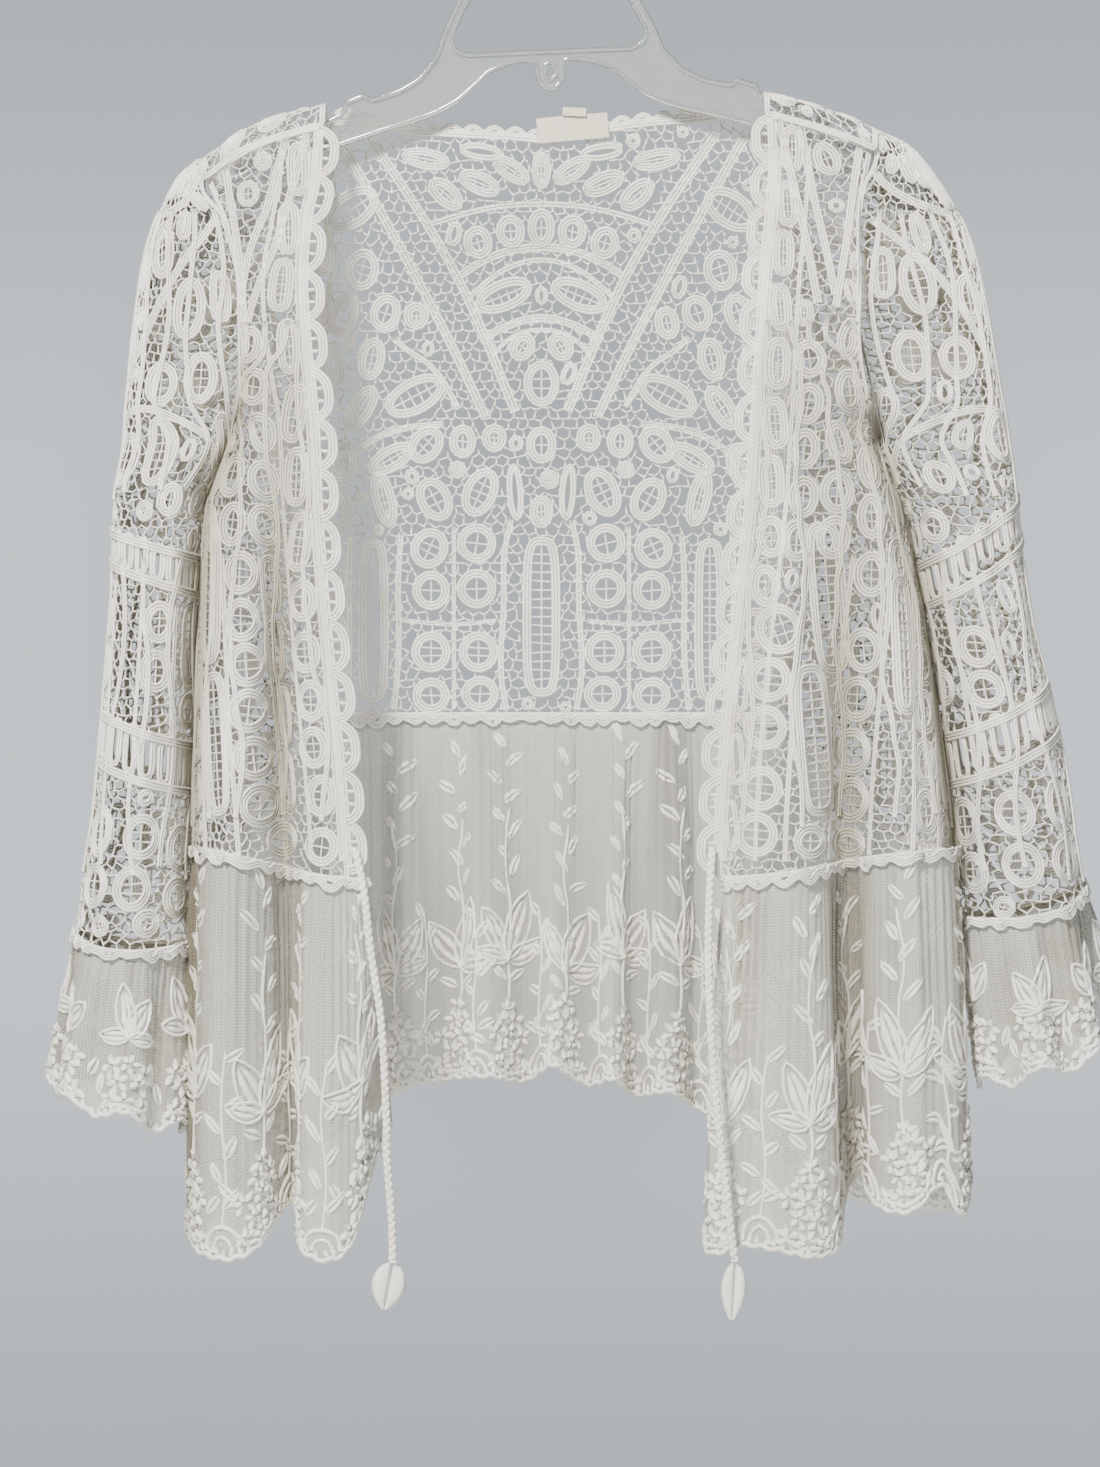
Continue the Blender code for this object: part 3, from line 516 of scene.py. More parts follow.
def spread(points, step, shut=False):
    """Points along a line, one about every step."""
    points = np.asarray(points, float)
    if shut:
        points = np.vstack([points, points[:1]])
    length = arc_length(points)
    at = np.linspace(0, length[-1], max(2, int(round(length[-1] / step))) + 1)
    at = at[:-1] if shut else at
    return np.stack([np.interp(at, length, points[:, c]) for c in range(points.shape[1])], 1)


def rounded(points):
    """Softens the corners of an open line."""
    points = np.asarray(points, float)
    for _ in range(2):
        a, b = points[:-1], points[1:]
        mid = np.stack([a * 0.75 + b * 0.25, a * 0.25 + b * 0.75], 1).reshape(-1, 2)
        points = np.vstack([points[:1], mid, points[-1:]])
    return points


def ring(x, z, wide, high, turn=0.0, square=2.0, count=40):
    a = np.linspace(0, 2 * pi, count, endpoint=False)
    u, v = [size / 2 * np.abs(f) ** (2 / square) * np.sign(f)
            for size, f in ((wide, np.cos(a)), (high, np.sin(a)))]
    return np.stack(turned(u, v, turn), 1) + (x, z)


def full(motif):
    """A motif's x, z, width, height, turn and squareness; a plain one is upright and oval."""
    return (*motif, *(0, 2)[len(motif) - 4:])


def rim_of(motif, share=1.0, count=12):
    x, z, wide, high, turn, _ = full(motif)
    return ring(x, z, wide * share, high * share, turn, 2, count)


def in_motifs(points, motifs, grow):
    m = np.array([full(row) for row in motifs], float)
    c, s = np.cos(np.radians(m[:, 4])), np.sin(np.radians(m[:, 4]))
    dx, dz = points[:, :1] - m[None, :, 0], points[:, 1:] - m[None, :, 1]
    u, v = np.abs(dx * c + dz * s) / (m[:, 2] / 2 + grow), np.abs(dz * c - dx * s) / (m[:, 3] / 2 + grow)
    return (u ** m[:, 5] + v ** m[:, 5] < 1).any(1)


def in_outline(points, outline):
    x, y = points.T
    hit = np.zeros(len(points), bool)
    for (x0, y0), (x1, y1) in zip(outline, np.roll(outline, -1, 0)):
        if y0 != y1:
            hit ^= ((y0 > y) != (y1 > y)) & (x < (x1 - x0) * (y - y0) / (y1 - y0) + x0)
    return hit


def net_bars(low, top, cell, rng):
    """Bars of an uneven six-sided net between two corners."""
    knots, bars = {}, []
    for j in range(int((top[1] - low[1]) / (cell * 0.86)) + 2):
        for i in range(int((top[0] - low[0]) / cell) + 2):
            for k in (0, 1):
                x = low[0] + (i + 0.5 * (j % 2) + 0.5 * k) * cell
                z = low[1] + (j * 0.86 + 0.27 * k) * cell
                knots[i, j, k] = (x + rng.uniform(-0.22, 0.22) * cell, z + rng.uniform(-0.22, 0.22) * cell)
    for (i, j, k), spot in knots.items():
        for other in ((i, j, 1), (i - 1, j, 1)) if k == 0 else ((i + j % 2, j + 1, 0),):
            if other in knots:
                bars.append((spot, knots[other]))
    return np.array(bars)


def crochet(yarn, cloth, outline, motifs, tapes, cell, seed, edge=1.7):
    """Lays motifs, tapes, an edge and the net between them on a cloth."""
    rng = random.Random(seed)
    outline = np.asarray(outline, float)

    def free(points):
        return in_outline(points, outline) & ~in_motifs(points, keep, -0.5)

    keep = [m for m in map(full, motifs) if in_outline(rim_of(m, 0.9), outline).all()]
    for x, z, wide, high, turn, square in keep:
        band = min(TAPE, min(wide, high) * 0.19)
        loop = spread(ring(x, z, wide - 2 * band, high - 2 * band, turn, square), 2.7, True)
        yarn.tape(*cloth.at(loop), band, 1.2, True)
        in_w, in_h = wide - 4 * band, high - 4 * band
        if min(in_w, in_h) < 2.5:
            continue
        upright = in_h >= in_w
        a, b = (in_h, in_w) if upright else (in_w, in_h)
        end = a / 2 + band * 0.6
        web = [[(off, -end), (off, end)] for off in ((0,) if b < 15 else (-b / 6, b / 6))]
        rungs = max(1, int(round(a / 5.0)) - 1)
        for i in range(rungs):
            v = (i + 1) / (rungs + 1) * a - a / 2
            reach = b / 2 * (1 - abs(v / (a / 2)) ** square) ** (1 / square) + band * 0.5
            tip = rng.uniform(-0.8, 0.8)
            web.append([(-reach, v + tip), (0, v), (reach, v - tip * 0.5)])
        for line in web:
            u, v = np.array(line, float).T[::1 if upright else -1]
            flat = np.stack(turned(u, v, turn), 1) + (x, z)
            yarn.run(*cloth.at(spread(flat, 4.0)), THIN, BAR, BAR)
    for line, half, *lift in tapes:
        flat = spread(rounded(line), 4.5 if lift and half <= 1.5 else 3.0)
        yarn.tape(*cloth.at(flat[in_outline(flat, outline)], lift[0] if lift else 0.2), half, 1.1)
    yarn.tape(*cloth.at(spread(outline, 3.0, True)), edge, 1.0, True)
    bars = net_bars(outline.min(0), outline.max(0), cell, rng)
    a, b = bars[:, 0], bars[:, 1]
    for _ in range(2):
        a, b = b, a
        good = free(a)
        a, b = a[good], b[good]
        low, top = np.zeros(len(a)), np.ones(len(a))
        for _ in range(6):
            mid = (low + top) / 2
            clear = free(a + (b - a) * mid[:, None])
            low, top = np.where(clear, mid, low), np.where(clear, top, mid)
        b = a + (b - a) * np.where(low > 0.97, 1.0, low)[:, None]
    long = np.linalg.norm(a - b, axis=1) > 1.2
    (pa, up), (pb, _) = cloth.at(a[long]), cloth.at(b[long])
    along = unit(pb - pa)
    side = unit(np.cross(up, along))
    spots = [p + side * BAR * u + up * BAR * v for p in (pa - along * 0.3, pb + along * 0.3) for u, v in THIN]
    yarn.spots.append(np.stack(spots, 1).reshape(-1, 3))
    # Inward shares of the bars' points, used for painted shade.
    yarn.inner.append(np.tile((0.0, 1.0, 1.0), 2 * len(pa)))
    i = np.arange(len(pa))[:, None] * 6 + yarn.count
    for j in range(3):
        k = (j + 1) % 3
        yarn.quads.append(np.concatenate([i + j, i + 3 + j, i + 3 + k, i + k], 1))
    yarn.ends += np.concatenate([i + (0, 1, 2), i + (5, 4, 3)]).tolist()
    yarn.count += 6 * len(pa)


NECK = [(-122, -179.5), (-106, -183), (-91, -186), (-70, -188.5), (-45, -190), (-20, -191),
        (0, -193), (20, -189.5), (38, -186), (57, -183.5), (76, -182), (98, -180), (121, -178)]
# Motifs beside the middle: x from the middle, z, width, height, turn, squareness.
BACK_PAIRS = [
    (17.5, -242, 17, 19, -6), (36, -248, 17, 19, -16), (21.5, -277, 18, 35, 68), (11, -306, 15, 18, 30),
    (107, -230, 21, 34, 58), (102, -263, 20, 24, 15), (113, -288, 17, 26, 20), (89, -287, 18, 22, 20),
    (97, -313, 16, 26, 12), (72, -334, 21, 38, 62), (103, -341, 15, 30, 32), (119, -316, 14, 28, -12),
    (45, -360, 16, 20, 0), (27, -358, 15, 17, 0), (66, -362, 19, 24, 40), (86, -370, 15, 30, 60),
    (114, -372, 18, 24, 10), (61, -393, 20, 27, -28), (35, -389, 20, 30, 24), (15, -389, 10, 34, -4),
    (90, -393, 14, 34, -14), (118, -402, 18, 30, 8), (48, -376, 11, 11, 0),
    (37, -418, 23, 23, 10), (37, -444, 23, 23, 0), (36, -480, 23, 24, 0), (35, -504, 22, 21, 0),
    (64, -421, 22, 24, 25), (63, -445, 22, 23, 0), (63, -480, 23, 24, 0), (63, -505, 22, 21, 0),
    (17, -209, 12, 25, -58), (35, -216, 13, 26, -68), (54, -222, 14, 24, -50), (34, -199, 10, 26, -82),
    (65, -203, 12, 29, -80), (124, -196, 13, 26, 20), (124, -254, 14, 26, 0),
    (140, -230, 20, 34, 20), (150, -264, 20, 30, 0), (135, -296, 18, 26, 0), (152, -300, 14, 26, 0),
    (136, -330, 18, 28, 0), (156, -334, 18, 30, 0), (160, -368, 20, 28, 0), (139, -364, 18, 24, 0),
    (139, -398, 18, 28, 0), (122, -440, 22, 23, 0), (122, -466, 22, 23, 0), (122, -492, 22, 23, 0),
    (148, -428, 22, 26, 0), (148, -455, 22, 23, 0), (148, -481, 22, 23, 0), (148, -507, 22, 23, 0),
    (174, -400, 18, 30, 0), (172, -440, 20, 44, 0, 3), (172, -492, 20, 48, 0, 3), (172, -540, 20, 36, 0, 3),
    (197, -420, 18, 40, 0, 3), (197, -480, 18, 60, 0, 3), (197, -545, 18, 48, 0, 3), (150, -530, 18, 14, 0),
    (222, -440, 18, 30, 0), (222, -500, 18, 60, 0, 3), (222, -560, 18, 40, 0, 3),
    (144, -192, 16, 24, 30), (164, -200, 14, 26, 20), (150, -170, 18, 14, 0), (172, -178, 16, 14, 0),
    (135, -160, 16, 14, 0), (96, -462, 18, 94, 0, 4),
]
BACK_MIDDLE = [(0, -240, 16, 22), (0, -327, 21, 27), (0, -362, 18, 22), (0, -209, 11, 22),
               (0, -460, 22, 92, 0, 4), (0, -277, 8, 12), (0, -400, 14, 20)]
BACK_BANDS = [([(115, -190), (86, -240), (53, -301), (32, -346)], 2.9),
              ([(98, -190), (69, -231), (42, -276), (15, -343)], 2.9)]
BACK_LINES = [([(17, -404), (22, -425), (21, -450), (24, -490), (20, -513)], 1.9),
              ([(80, -412), (82, -440), (81, -480), (84, -513)], 1.9),
              ([(109, -412), (110, -440), (109, -480), (111, -513)], 1.9),
              ([(56, -350), (80, -352), (100, -360), (128, -385)], 2.0),
              ([(48, -340), (60, -318), (80, -306), (84, -300)], 1.8),
              ([(128, -212), (122, -235), (118, -262), (126, -300)], 1.8),
              ([(26, -462), (50, -465), (80, -462)], 1.3), ([(50, -408), (50, -512)], 1.3)]
BACK_ARCS = [
    ([(46, -266), (34, -258), (18, -252), (0, -250)], 2.4),
    ([(40, -277), (26, -265), (13, -259), (0, -257)], 1.7),
    ([(33, -301), (24, -296), (12, -291), (0, -289)], 2.4),
    ([(28, -311), (20, -302), (10, -297), (0, -296)], 1.4),
    ([(62, -238), (42, -232), (22, -228), (0, -227)], 1.8),
]


def back_outline():
    loop = []
    for side in (RIGHT, LEFT):
        part = []
        for i in range(14):
            z = WAIST_SIDE + ((-222 if side == LEFT else -206) - WAIST_SIDE) * i / 13
            part.append((side * body_edge(side, z), z))
        out = SHOULDER_X[side]
        for i in range(7):
            part.append((side * out, ridge(side, out) - RIDGE_R - 4 + (pi * RIDGE_R + 8) * i / 6))
        for i in range(1, 5):
            x = out + (NECK_X[side] - out) * i / 5
            part.append((side * x, ridge(side, x) - RIDGE_R + pi * RIDGE_R + 4))
        for i in range(6):
            z = ridge(side, NECK_X[side]) - RIDGE_R + (pi * RIDGE_R + 4) * (1 - i / 5)
            part.append((side * NECK_X[side], z))
        loop += part if side == RIGHT else part[::-1]
        if side == RIGHT:
            loop += NECK[::-1][1:-1]
    for i in range(1, 36):
        f = i / 18 - 1
        side = LEFT if f < 0 else RIGHT
        run = abs(f) * body_edge(side, WAIST_SIDE)
        loop.append((side * run, waist(side * section(side, run, WAIST_SIDE, 35)[0])))
    return loop


def fill(outline, motifs, clear, sizes, seed, tries, gap, grow=(1.0, 1.1, 1.35, 1.6)):
    """Small rings and leaves in the free places between the motifs."""
    rng = random.Random(seed)
    outline = np.asarray(outline, float)
    low, top = outline.min(0), outline.max(0)
    made = list(motifs)
    lines = np.concatenate([spread(line, 3.0) for line in clear])
    for size in sizes:
        for _ in range(tries // len(sizes)):
            x, z = rng.uniform(low[0], top[0]), rng.uniform(low[1], top[1])
            long = size * rng.choice(grow)
            turn = rng.uniform(-25, 25)
            rim = ring(x, z, size + 2 * gap, long + 2 * gap, turn, 2, 14)
            spots = np.vstack([rim, ring(x, z, size * 0.5, long * 0.5, turn, 2, 6), [(x, z)]])
            if not in_outline(rim, outline).all() or in_motifs(spots, made, 0.0).any():
                continue
            if in_motifs(lines, [(x, z, size + 3, long + 3, turn)], 0.0).any():
                continue
            near = [m for m in made[-400:] if abs(m[0] - x) < 30 and abs(m[1] - z) < 40]
            if not any(in_motifs(rim_of(m, 1.0, 14), [(x, z, size, long, turn)], gap).any() for m in near):
                made.append((x, z, size, long, turn))
    return made


def wander(outline, seed, lines, low, top, half=1.5, sway=3.2):
    """Tapes that wander down a piece between its motifs, one to each share of its width."""
    rng = random.Random(seed)
    outline = np.asarray(outline, float)
    tapes = []
    for k in range(lines):
        z, path, phase = top, [], rng.uniform(0, 6)
        while z > low:
            row = outline[np.abs(outline[:, 1] - z).argsort()[:8], 0]
            x = row.min() + (row.max() - row.min()) * (k + 0.5) / lines
            path.append((x + sway * sin(phase), z))
            phase += rng.uniform(0.25, 0.8)
            z -= rng.uniform(8, 14)
        if len(path) > 2:
            tapes.append((path, half, 0.9))
    return tapes


def within(value):
    return np.clip(value, 0, 1)


def lace_piece(name, solids, yarn, flat, area, depth=None):
    """flat is the cut's widest and longest, area the cut's own, both in metres and gaps included."""
    made = yarn.piece(name, YARN, depth)
    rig.replaces(made, *solids)
    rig.slot(made, "crochet_cotton")
    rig.sheet(made, flat=flat, held="hung", rests_on=["hanger"], area=area)


MIDDLE = -2
motifs = [(MIDDLE + m[0], *m[1:]) for m in BACK_MIDDLE]
tapes = [([(MIDDLE - x, z) for x, z in line] + [(MIDDLE + x, z) for x, z in line[-2::-1]], half)
         for line, half in BACK_ARCS]
bands = []
(outer, _), (inner, _) = BACK_BANDS
for way in (-1, 1):
    motifs += [(MIDDLE + way * x, z, wide, high, way * turn, *square)
               for x, z, wide, high, turn, *square in BACK_PAIRS]
    tapes += [([(MIDDLE + way * x, z) for x, z in line], half) for line, half in BACK_BANDS + BACK_LINES]
    bands.append(np.array([(MIDDLE + way * x, z) for x, z in outer + inner[::-1]], float))
motifs = [m for m in motifs if not any(in_outline(rim_of(m, 0.6, 16), band).any() for band in bands)]
clear = [line for line, half in tapes] + [(band[:4] + band[:3:-1]) / 2 for band in bands]
motifs = fill(back_outline(), motifs, clear, (15, 12, 9.5, 8), 8, 4000, 0.1)
yarn = Yarn()
crochet(yarn, Cloth(back_point, -262, 262, -595, -138, 1), back_outline(), motifs, tapes, 6.4, 3)
# Painted shade: the back darkens on the inward side of its yarn toward the sides and below the shoulders.
lace_piece("back_crochet", ["back"], yarn, (0.458, 0.418), 0.1452,
           depth=lambda x, y, z, inner: 0.7 * inner * within((np.abs(x) - 112) / 25) * within((-200 - z) / 60))

# Fronts: the same crochet, seamed to the back at the shoulder and the side. They hang open in
# soft folds; rings and capsules stand in columns beside the edge.
FRONT_FOOT = -606
FOLDS = {
    LEFT: [(152, 143, 20, 8.5, -330), (172, 170, -7, 12, -380), (133, 118, -5, 9, -250)],
    RIGHT: [(160, 166, 24, 9.5, -370), (128, 130, -8, 16, -260), (190, 199, -9, 14, -420)],
}


def front_point(side, s, z):
    x, y = section(side, s, z, front_level(side, s, z))
    for top, hem, depth, half, start in FOLDS[side]:
        grow = smooth((start - z) / 190)
        mid = top + (hem - top) * min(1, max(0, (start - z) / (start + 600)))
        y += depth * grow * exp(-((s - mid) / half) ** 2)
    y += 1.8 * sin(s / 4.6 + z / 90) * smooth((-230 - z) / 120) * smooth((s - 100) / 30)
    return side * x, y, z


def front_hem(side, x):
    inner, outer = read(SIDE[side], 1, FRONT_FOOT), read(SIDE[side], 2, WAIST_SIDE)
    return WAIST_SIDE - 16 * smooth((outer - x) / (outer - inner))


def front_outline(side):
    loop = []
    top_out, inner = SHOULDER_X[side] - 1.5, read(SIDE[side], 1, -190)
    for i in range(6):
        x = min(top_out, max(inner, NECK_X[side] + (SHOULDER_X[side] - NECK_X[side]) * i / 5))
        true_x = section(side, x, ridge(side, x) - SEAM_DROP, -RIDGE_R)[0]
        loop.append((x, ridge(side, true_x) - SEAM_DROP - 0.9))
    start = loop[-1][1]
    for i in range(1, 15):
        z = start + (WAIST_SIDE - start) * i / 14
        loop.append((body_edge(side, z), z))
    inner, outer = read(SIDE[side], 1, FRONT_FOOT), body_edge(side, WAIST_SIDE)
    for i in range(1, 15):
        run = outer + (inner - outer) * i / 15
        loop.append((run, front_hem(side, section(side, run, WAIST_SIDE, -42)[0])))
    for i in range(15):
        z = FRONT_FOOT + (loop[0][1] - FRONT_FOOT) * i / 15
        loop.append((read(SIDE[side], 1, z), z))
    return loop


# Columns of motifs: distance from the front edge, heights, width, height, turn, squareness.
FRONT_COLUMNS = {
    LEFT: [
        (10, (-212, -246, -280, -314), 13, 32, 0, 3),
        (28, (-214, -240, -264, -288, -312, -336), 17, 22, 12), (10, (-350, -386, -422), 15, 34, 4, 3),
        (44, (-222, -352), 14, 24, -10), (30, (-362, -388, -412), 18, 24, -12),
        (50, (-384, -412), 20, 26, 10), (70, (-384, -414), 18, 28, 0),
        (46, (-438, -464, -489, -515, -541, -567), 22, 25, 0),
        (12, (-455, -482, -508, -534, -560), 18, 24, 0), (30, (-444, -480, -516, -552), 12, 34, 0, 3),
        (13, (-588,), 20, 22, 0), (36, (-585,), 20, 20, 0), (71, (-450, -532), 21, 80, 0, 4),
        (95, (-420, -448, -476, -504, -532, -560), 20, 25, 0), (58, (-588,), 18, 18, 0),
        (116, (-440, -520), 16, 70, 0, 4), (78, (-584,), 18, 18, 0),
    ],
    RIGHT: [
        (9, (-202, -232, -262, -292), 13, 28, 0, 3),
        (27, (-200, -224, -248, -272, -296, -320), 18, 22, 12),
        (45, (-206, -232, -258, -284, -310), 15, 25, -8), (10, (-324, -356, -388), 15, 30, 0, 3),
        (28, (-345, -370, -396, -421), 18, 24, -10), (47, (-338, -366), 16, 26, 10),
        (48, (-394, -420), 20, 25, -8), (12, (-420, -446), 17, 24, 0), (22, (-470,), 26, 28, 20),
        (20, (-497, -523, -556, -582), 24, 25, 0), (49, (-452, -530), 22, 84, 0, 4),
        (68, (-380, -407), 18, 26, 0), (71, (-440, -482, -508, -536, -563), 20, 26, 0),
        (6, (-500, -540, -578), 9, 30, 0, 3), (90, (-400, -432), 18, 28, 6),
        (94, (-478, -560), 18, 78, 0, 4), (114, (-430, -460, -488, -515, -542, -570), 22, 26, 0),
        (136, (-446, -530), 20, 80, 0, 4), (49, (-586,), 20, 20, 0), (72, (-588,), 20, 18, 0),
        (156, (-430, -458, -486, -514, -542, -570), 18, 24, 0),
    ],
}
FRONT_RUNS = {LEFT: (34, 58, 84, 106), RIGHT: (35, 60, 82, 104, 126)}
FRONT_BANDS = {
    LEFT: ([(131, -186), (150, -262), (160, -300)], [(143, -190), (158, -250), (166, -290)],
           [(176, -205), (168, -250), (163, -300)]),
    RIGHT: ([(130, -184), (144, -250), (150, -290)], [(142, -186), (152, -245), (157, -285)],
            [(172, -200), (165, -245), (157, -292)]),
}
FRONT_CUT = {LEFT: ((0.143, 0.414), 0.0357), RIGHT: ((0.195, 0.424), 0.0456)}
for side, word in SIDES:
    rng = random.Random(5 + side)
    motifs = []
    for off, heights, wide, high, turn, *square in FRONT_COLUMNS[side]:
        for z in heights:
            x = read(SIDE[side], 1, z) + off + rng.uniform(-1, 1)
            motifs.append((x, z + rng.uniform(-1, 1), wide, high, turn + rng.uniform(-6, 6), *square))
    motifs = [m for m in motifs if m[1] < -308 or abs(m[0] - read(SIDE[side], 1, m[1])) < 16]
    edge = [(read(SIDE[side], 1, z), z) for z in range(-200, FRONT_FOOT, -12)]
    tapes = [([(x + off, z) for x, z in edge], half) for off, half in ((1.8, 2.2), (19, 1.3))]
    tapes += [([(x + off, z) for x, z in edge if z < -420], 1.5) for off in FRONT_RUNS[side]]
    tapes += [(line, 2.3, 0.4) for line in FRONT_BANDS[side]]
    outline = front_outline(side)
    tapes += wander(outline, 80 + side, len(FRONT_RUNS[side]) + 1, -580, -300)
    motifs = fill(outline, motifs, FRONT_BANDS[side], (17, 14, 11, 9), 60 + side, 2600, 0.2, (1.1, 1.5, 2.0))
    yarn = Yarn()
    cloth = Cloth(lambda s, z: front_point(side, s, z), 90, 270, -610, -165, -1)
    crochet(yarn, cloth, outline, motifs, tapes, 5.8, 20 + side)
    # Painted shade: a little over all the fronts, and more from the bust down where they lie further back, in folds
    # and toward the side seams.
    lace_piece("front_%s_crochet" % word, ["front_" + word], yarn, *FRONT_CUT[side],
               depth=lambda x, y, z, inner: 0.1 + (y + 44) / 25 * within((-290 - z) / 60))

# Sleeves: wide tubes of the same crochet, set into the armholes. Two slanting bands of tall cells
# go round each.
SLEEVE = {
    LEFT: [(-207, 195, 1, 2), (-216, 205, 3, 2), (-250, 221, 5, 1.0), (-301, 229.6, 7, 0.6),
           (-335, 233, 9, 0.8), (-351, 235, 15, 2.6), (-372, 237.5, 26, 4), (-396, 240.8, 33, 6.5),
           (-452, 242.5, 37, 6.5), (-508, 246.4, 38, 5), (-564, 252, 40, 4.2), (-603, 257.6, 42, 4),
           (-645, 263, 43, 4)],
    RIGHT: [(-191, 189, 1, 2), (-198, 204, 3, 2), (-239, 232.4, 5, 0.6), (-284, 246.4, 7, 0.6),
            (-335, 254.2, 9, 0.8), (-351, 257.5, 15, 2.6), (-385, 263, 30, 5), (-418, 266, 36, 6.5),
            (-474, 274.4, 38, 6.5), (-508, 282.8, 40, 6.5), (-564, 294, 42, 6.5),
            (-603, 299.6, 43, 7), (-640, 306, 44, 7)],
}
SLEEVE_TOP_X = {LEFT: 191.8, RIGHT: 185.1}
SLEEVE_W = 84
CUFF_IN = {LEFT: -640, RIGHT: -628}
CUFF_OUT = {LEFT: -634, RIGHT: -608}


def sleeve_inner(side, z):
    high = ridge(side, SHOULDER_X[side]) - SEAM_DROP - 2
    if z > high:
        return SLEEVE_TOP_X[side]
    edge = read(SIDE[side], 2, z) + read(SLEEVE[side], 3, z) * (1 - 0.75 * closed(z))
    return edge + (SLEEVE_TOP_X[side] - edge) * smooth((z - high + 18) / 18)


def sleeve_point(side, way, p, z):
    """way -1 is the front half, +1 the back half; p runs from the inner seam to the crest."""
    u = min(1.0, max(0.0, p / SLEEVE_W))
    x_in, x_out = sleeve_inner(side, z), read(SLEEVE[side], 1, z)
    half = read(SLEEVE[side], 2, z)
    shut = closed(z)
    across = (1 - shut) * sin(pi * u / 2) + shut * (1 - cos(pi * u)) / 2
    level = front_level if way < 0 else back_level
    start = max(0.4, abs(level(side, x_in, z)) - 4)
    top = ridge(side, SHOULDER_X[side])
    start = min(start, RIDGE_R * sqrt(max(0.02, 1 - max(0, (z - top + RIDGE_R) / RIDGE_R) ** 2)))
    open_y = start * cos(pi * u / 2) + half * sin(pi * u)
    y = (1 - shut) * open_y + shut * half * sin(pi * u) + 0.8 - 0.35 * shut
    ripple = 2.2 * (sin(3 * pi * u + z / 60) + 0.8 * sin(9 * pi * u - z / 75))
    ripple *= smooth((-260 - z) / 100) * sin(pi * u)
    return side * (x_in + (x_out - x_in) * across), way * (y + ripple) + 2 * shut, z


def sleeve_hem(side, p):
    f = p / SLEEVE_W
    return CUFF_IN[side] * (1 - f) + CUFF_OUT[side] * f - 9 * sin(pi * f)


def sleeve_outline(side):
    top = SLEEVE[side][0][0]
    loop = [(0.01, top + (CUFF_IN[side] - top) * (i / 14) ** 1.1) for i in range(15)]
    loop += [(SLEEVE_W * i / 7, sleeve_hem(side, SLEEVE_W * i / 7)) for i in range(1, 7)]
    rise = top - CUFF_OUT[side]
    return loop + [(SLEEVE_W - 0.01, CUFF_OUT[side] + rise * (i / 14) ** 0.9) for i in range(15)]


# Motifs of one half: distance from the inner seam, z, width, height, turn, squareness.
SLEEVE_MOTIFS = [
    (22, -250, 18, 34, 8), (50, -258, 20, 34, -12), (34, -226, 14, 20, 20), (26, -290, 19, 36, 5),
    (55, -298, 20, 28, 0), (74, -270, 16, 26, -10), (20, -330, 18, 30, 0), (42, -332, 21, 25, 0),
    (66, -334, 18, 33, -8), (24, -368, 20, 26, 0), (46, -370, 17, 40, 0, 3), (68, -376, 20, 32, 8),
    (14, -398, 16, 22, 10), (33, -398, 16, 20, 0), (62, -406, 14, 18, 0), (10, -284, 12, 30, 0, 3),
    (76, -306, 14, 30, 0), (78, -352, 12, 26, 0), (8, -362, 13, 30, 0), (13, -478, 17, 46, 0, 4),
    (34, -466, 20, 24, 0), (34, -492, 20, 24, 0), (56, -474, 19, 76, 0, 4), (77, -462, 15, 26, 0),
    (77, -490, 15, 26, 0), (34, -516, 20, 22, 0), (12, -514, 16, 22, 0), (77, -514, 14, 18, 0),
    (15, -590, 19, 28, 0), (38, -584, 20, 26, 0), (40, -612, 20, 26, 0), (62, -580, 18, 30, 0),
    (62, -610, 19, 26, 0), (17, -617, 18, 24, 0), (79, -590, 14, 30, 0),
]
BANDS = {LEFT: ((-430, -450, -413, -430), (-534, -560, -513, -539)),
         RIGHT: ((-435, -457, -394, -416), (-530, -556, -496, -522))}
SLEEVE_TAPES = [([(4, -214), (30, -232), (60, -238)], 2.3),
                ([(6, -240), (36, -268), (62, -316), (82, -330)], 2.2),
                ([(4, -388), (30, -352), (58, -344), (82, -356)], 2.2),
                ([(24, -455), (24, -530)], 1.4), ([(45, -455), (45, -530)], 1.4),
                ([(67, -440), (67, -520)], 1.4)]
SLEEVE_CUT = {LEFT: ((0.24, 0.449), 0.0772), RIGHT: ((0.252, 0.457), 0.0843)}
MOTIF_SHIFT = {LEFT: 0, RIGHT: 14}


def sleeve_painted_shade(side, x, z):
    """Painted shade in the hollow between the sleeve and the body: how deep a place lies in it."""
    high = np.linspace(-650, -180, 95)
    inner = np.array([sleeve_inner(side, v) for v in high])
    return 0.8 * (1 - (np.abs(x) - np.interp(z, high, inner)) / 16) * within((-290 - z) / 60)


def sleeve_bands(side):
    """The slanting bands of one half: the tapes along their rims and the tall cells between."""
    tapes, cells = [], []
    for in_top, in_low, out_top, out_low in BANDS[side]:
        for inner, outer in ((in_top, out_top), (in_low, out_low)):
            rise = outer - inner
            line = [(2, inner), (28, inner + rise * 0.15), (56, inner + rise * 0.6), (82, outer)]
            tapes.append((line, 2.5, 1.0))
        for p in range(7, 87, 10):
            mid = (in_top + in_low) / 2 + ((out_top + out_low) - (in_top + in_low)) / 2 * smooth(p / SLEEVE_W)
            cells.append((p, mid, 9.5, in_top - in_low + 2, 0, 4))
    return tapes, cells


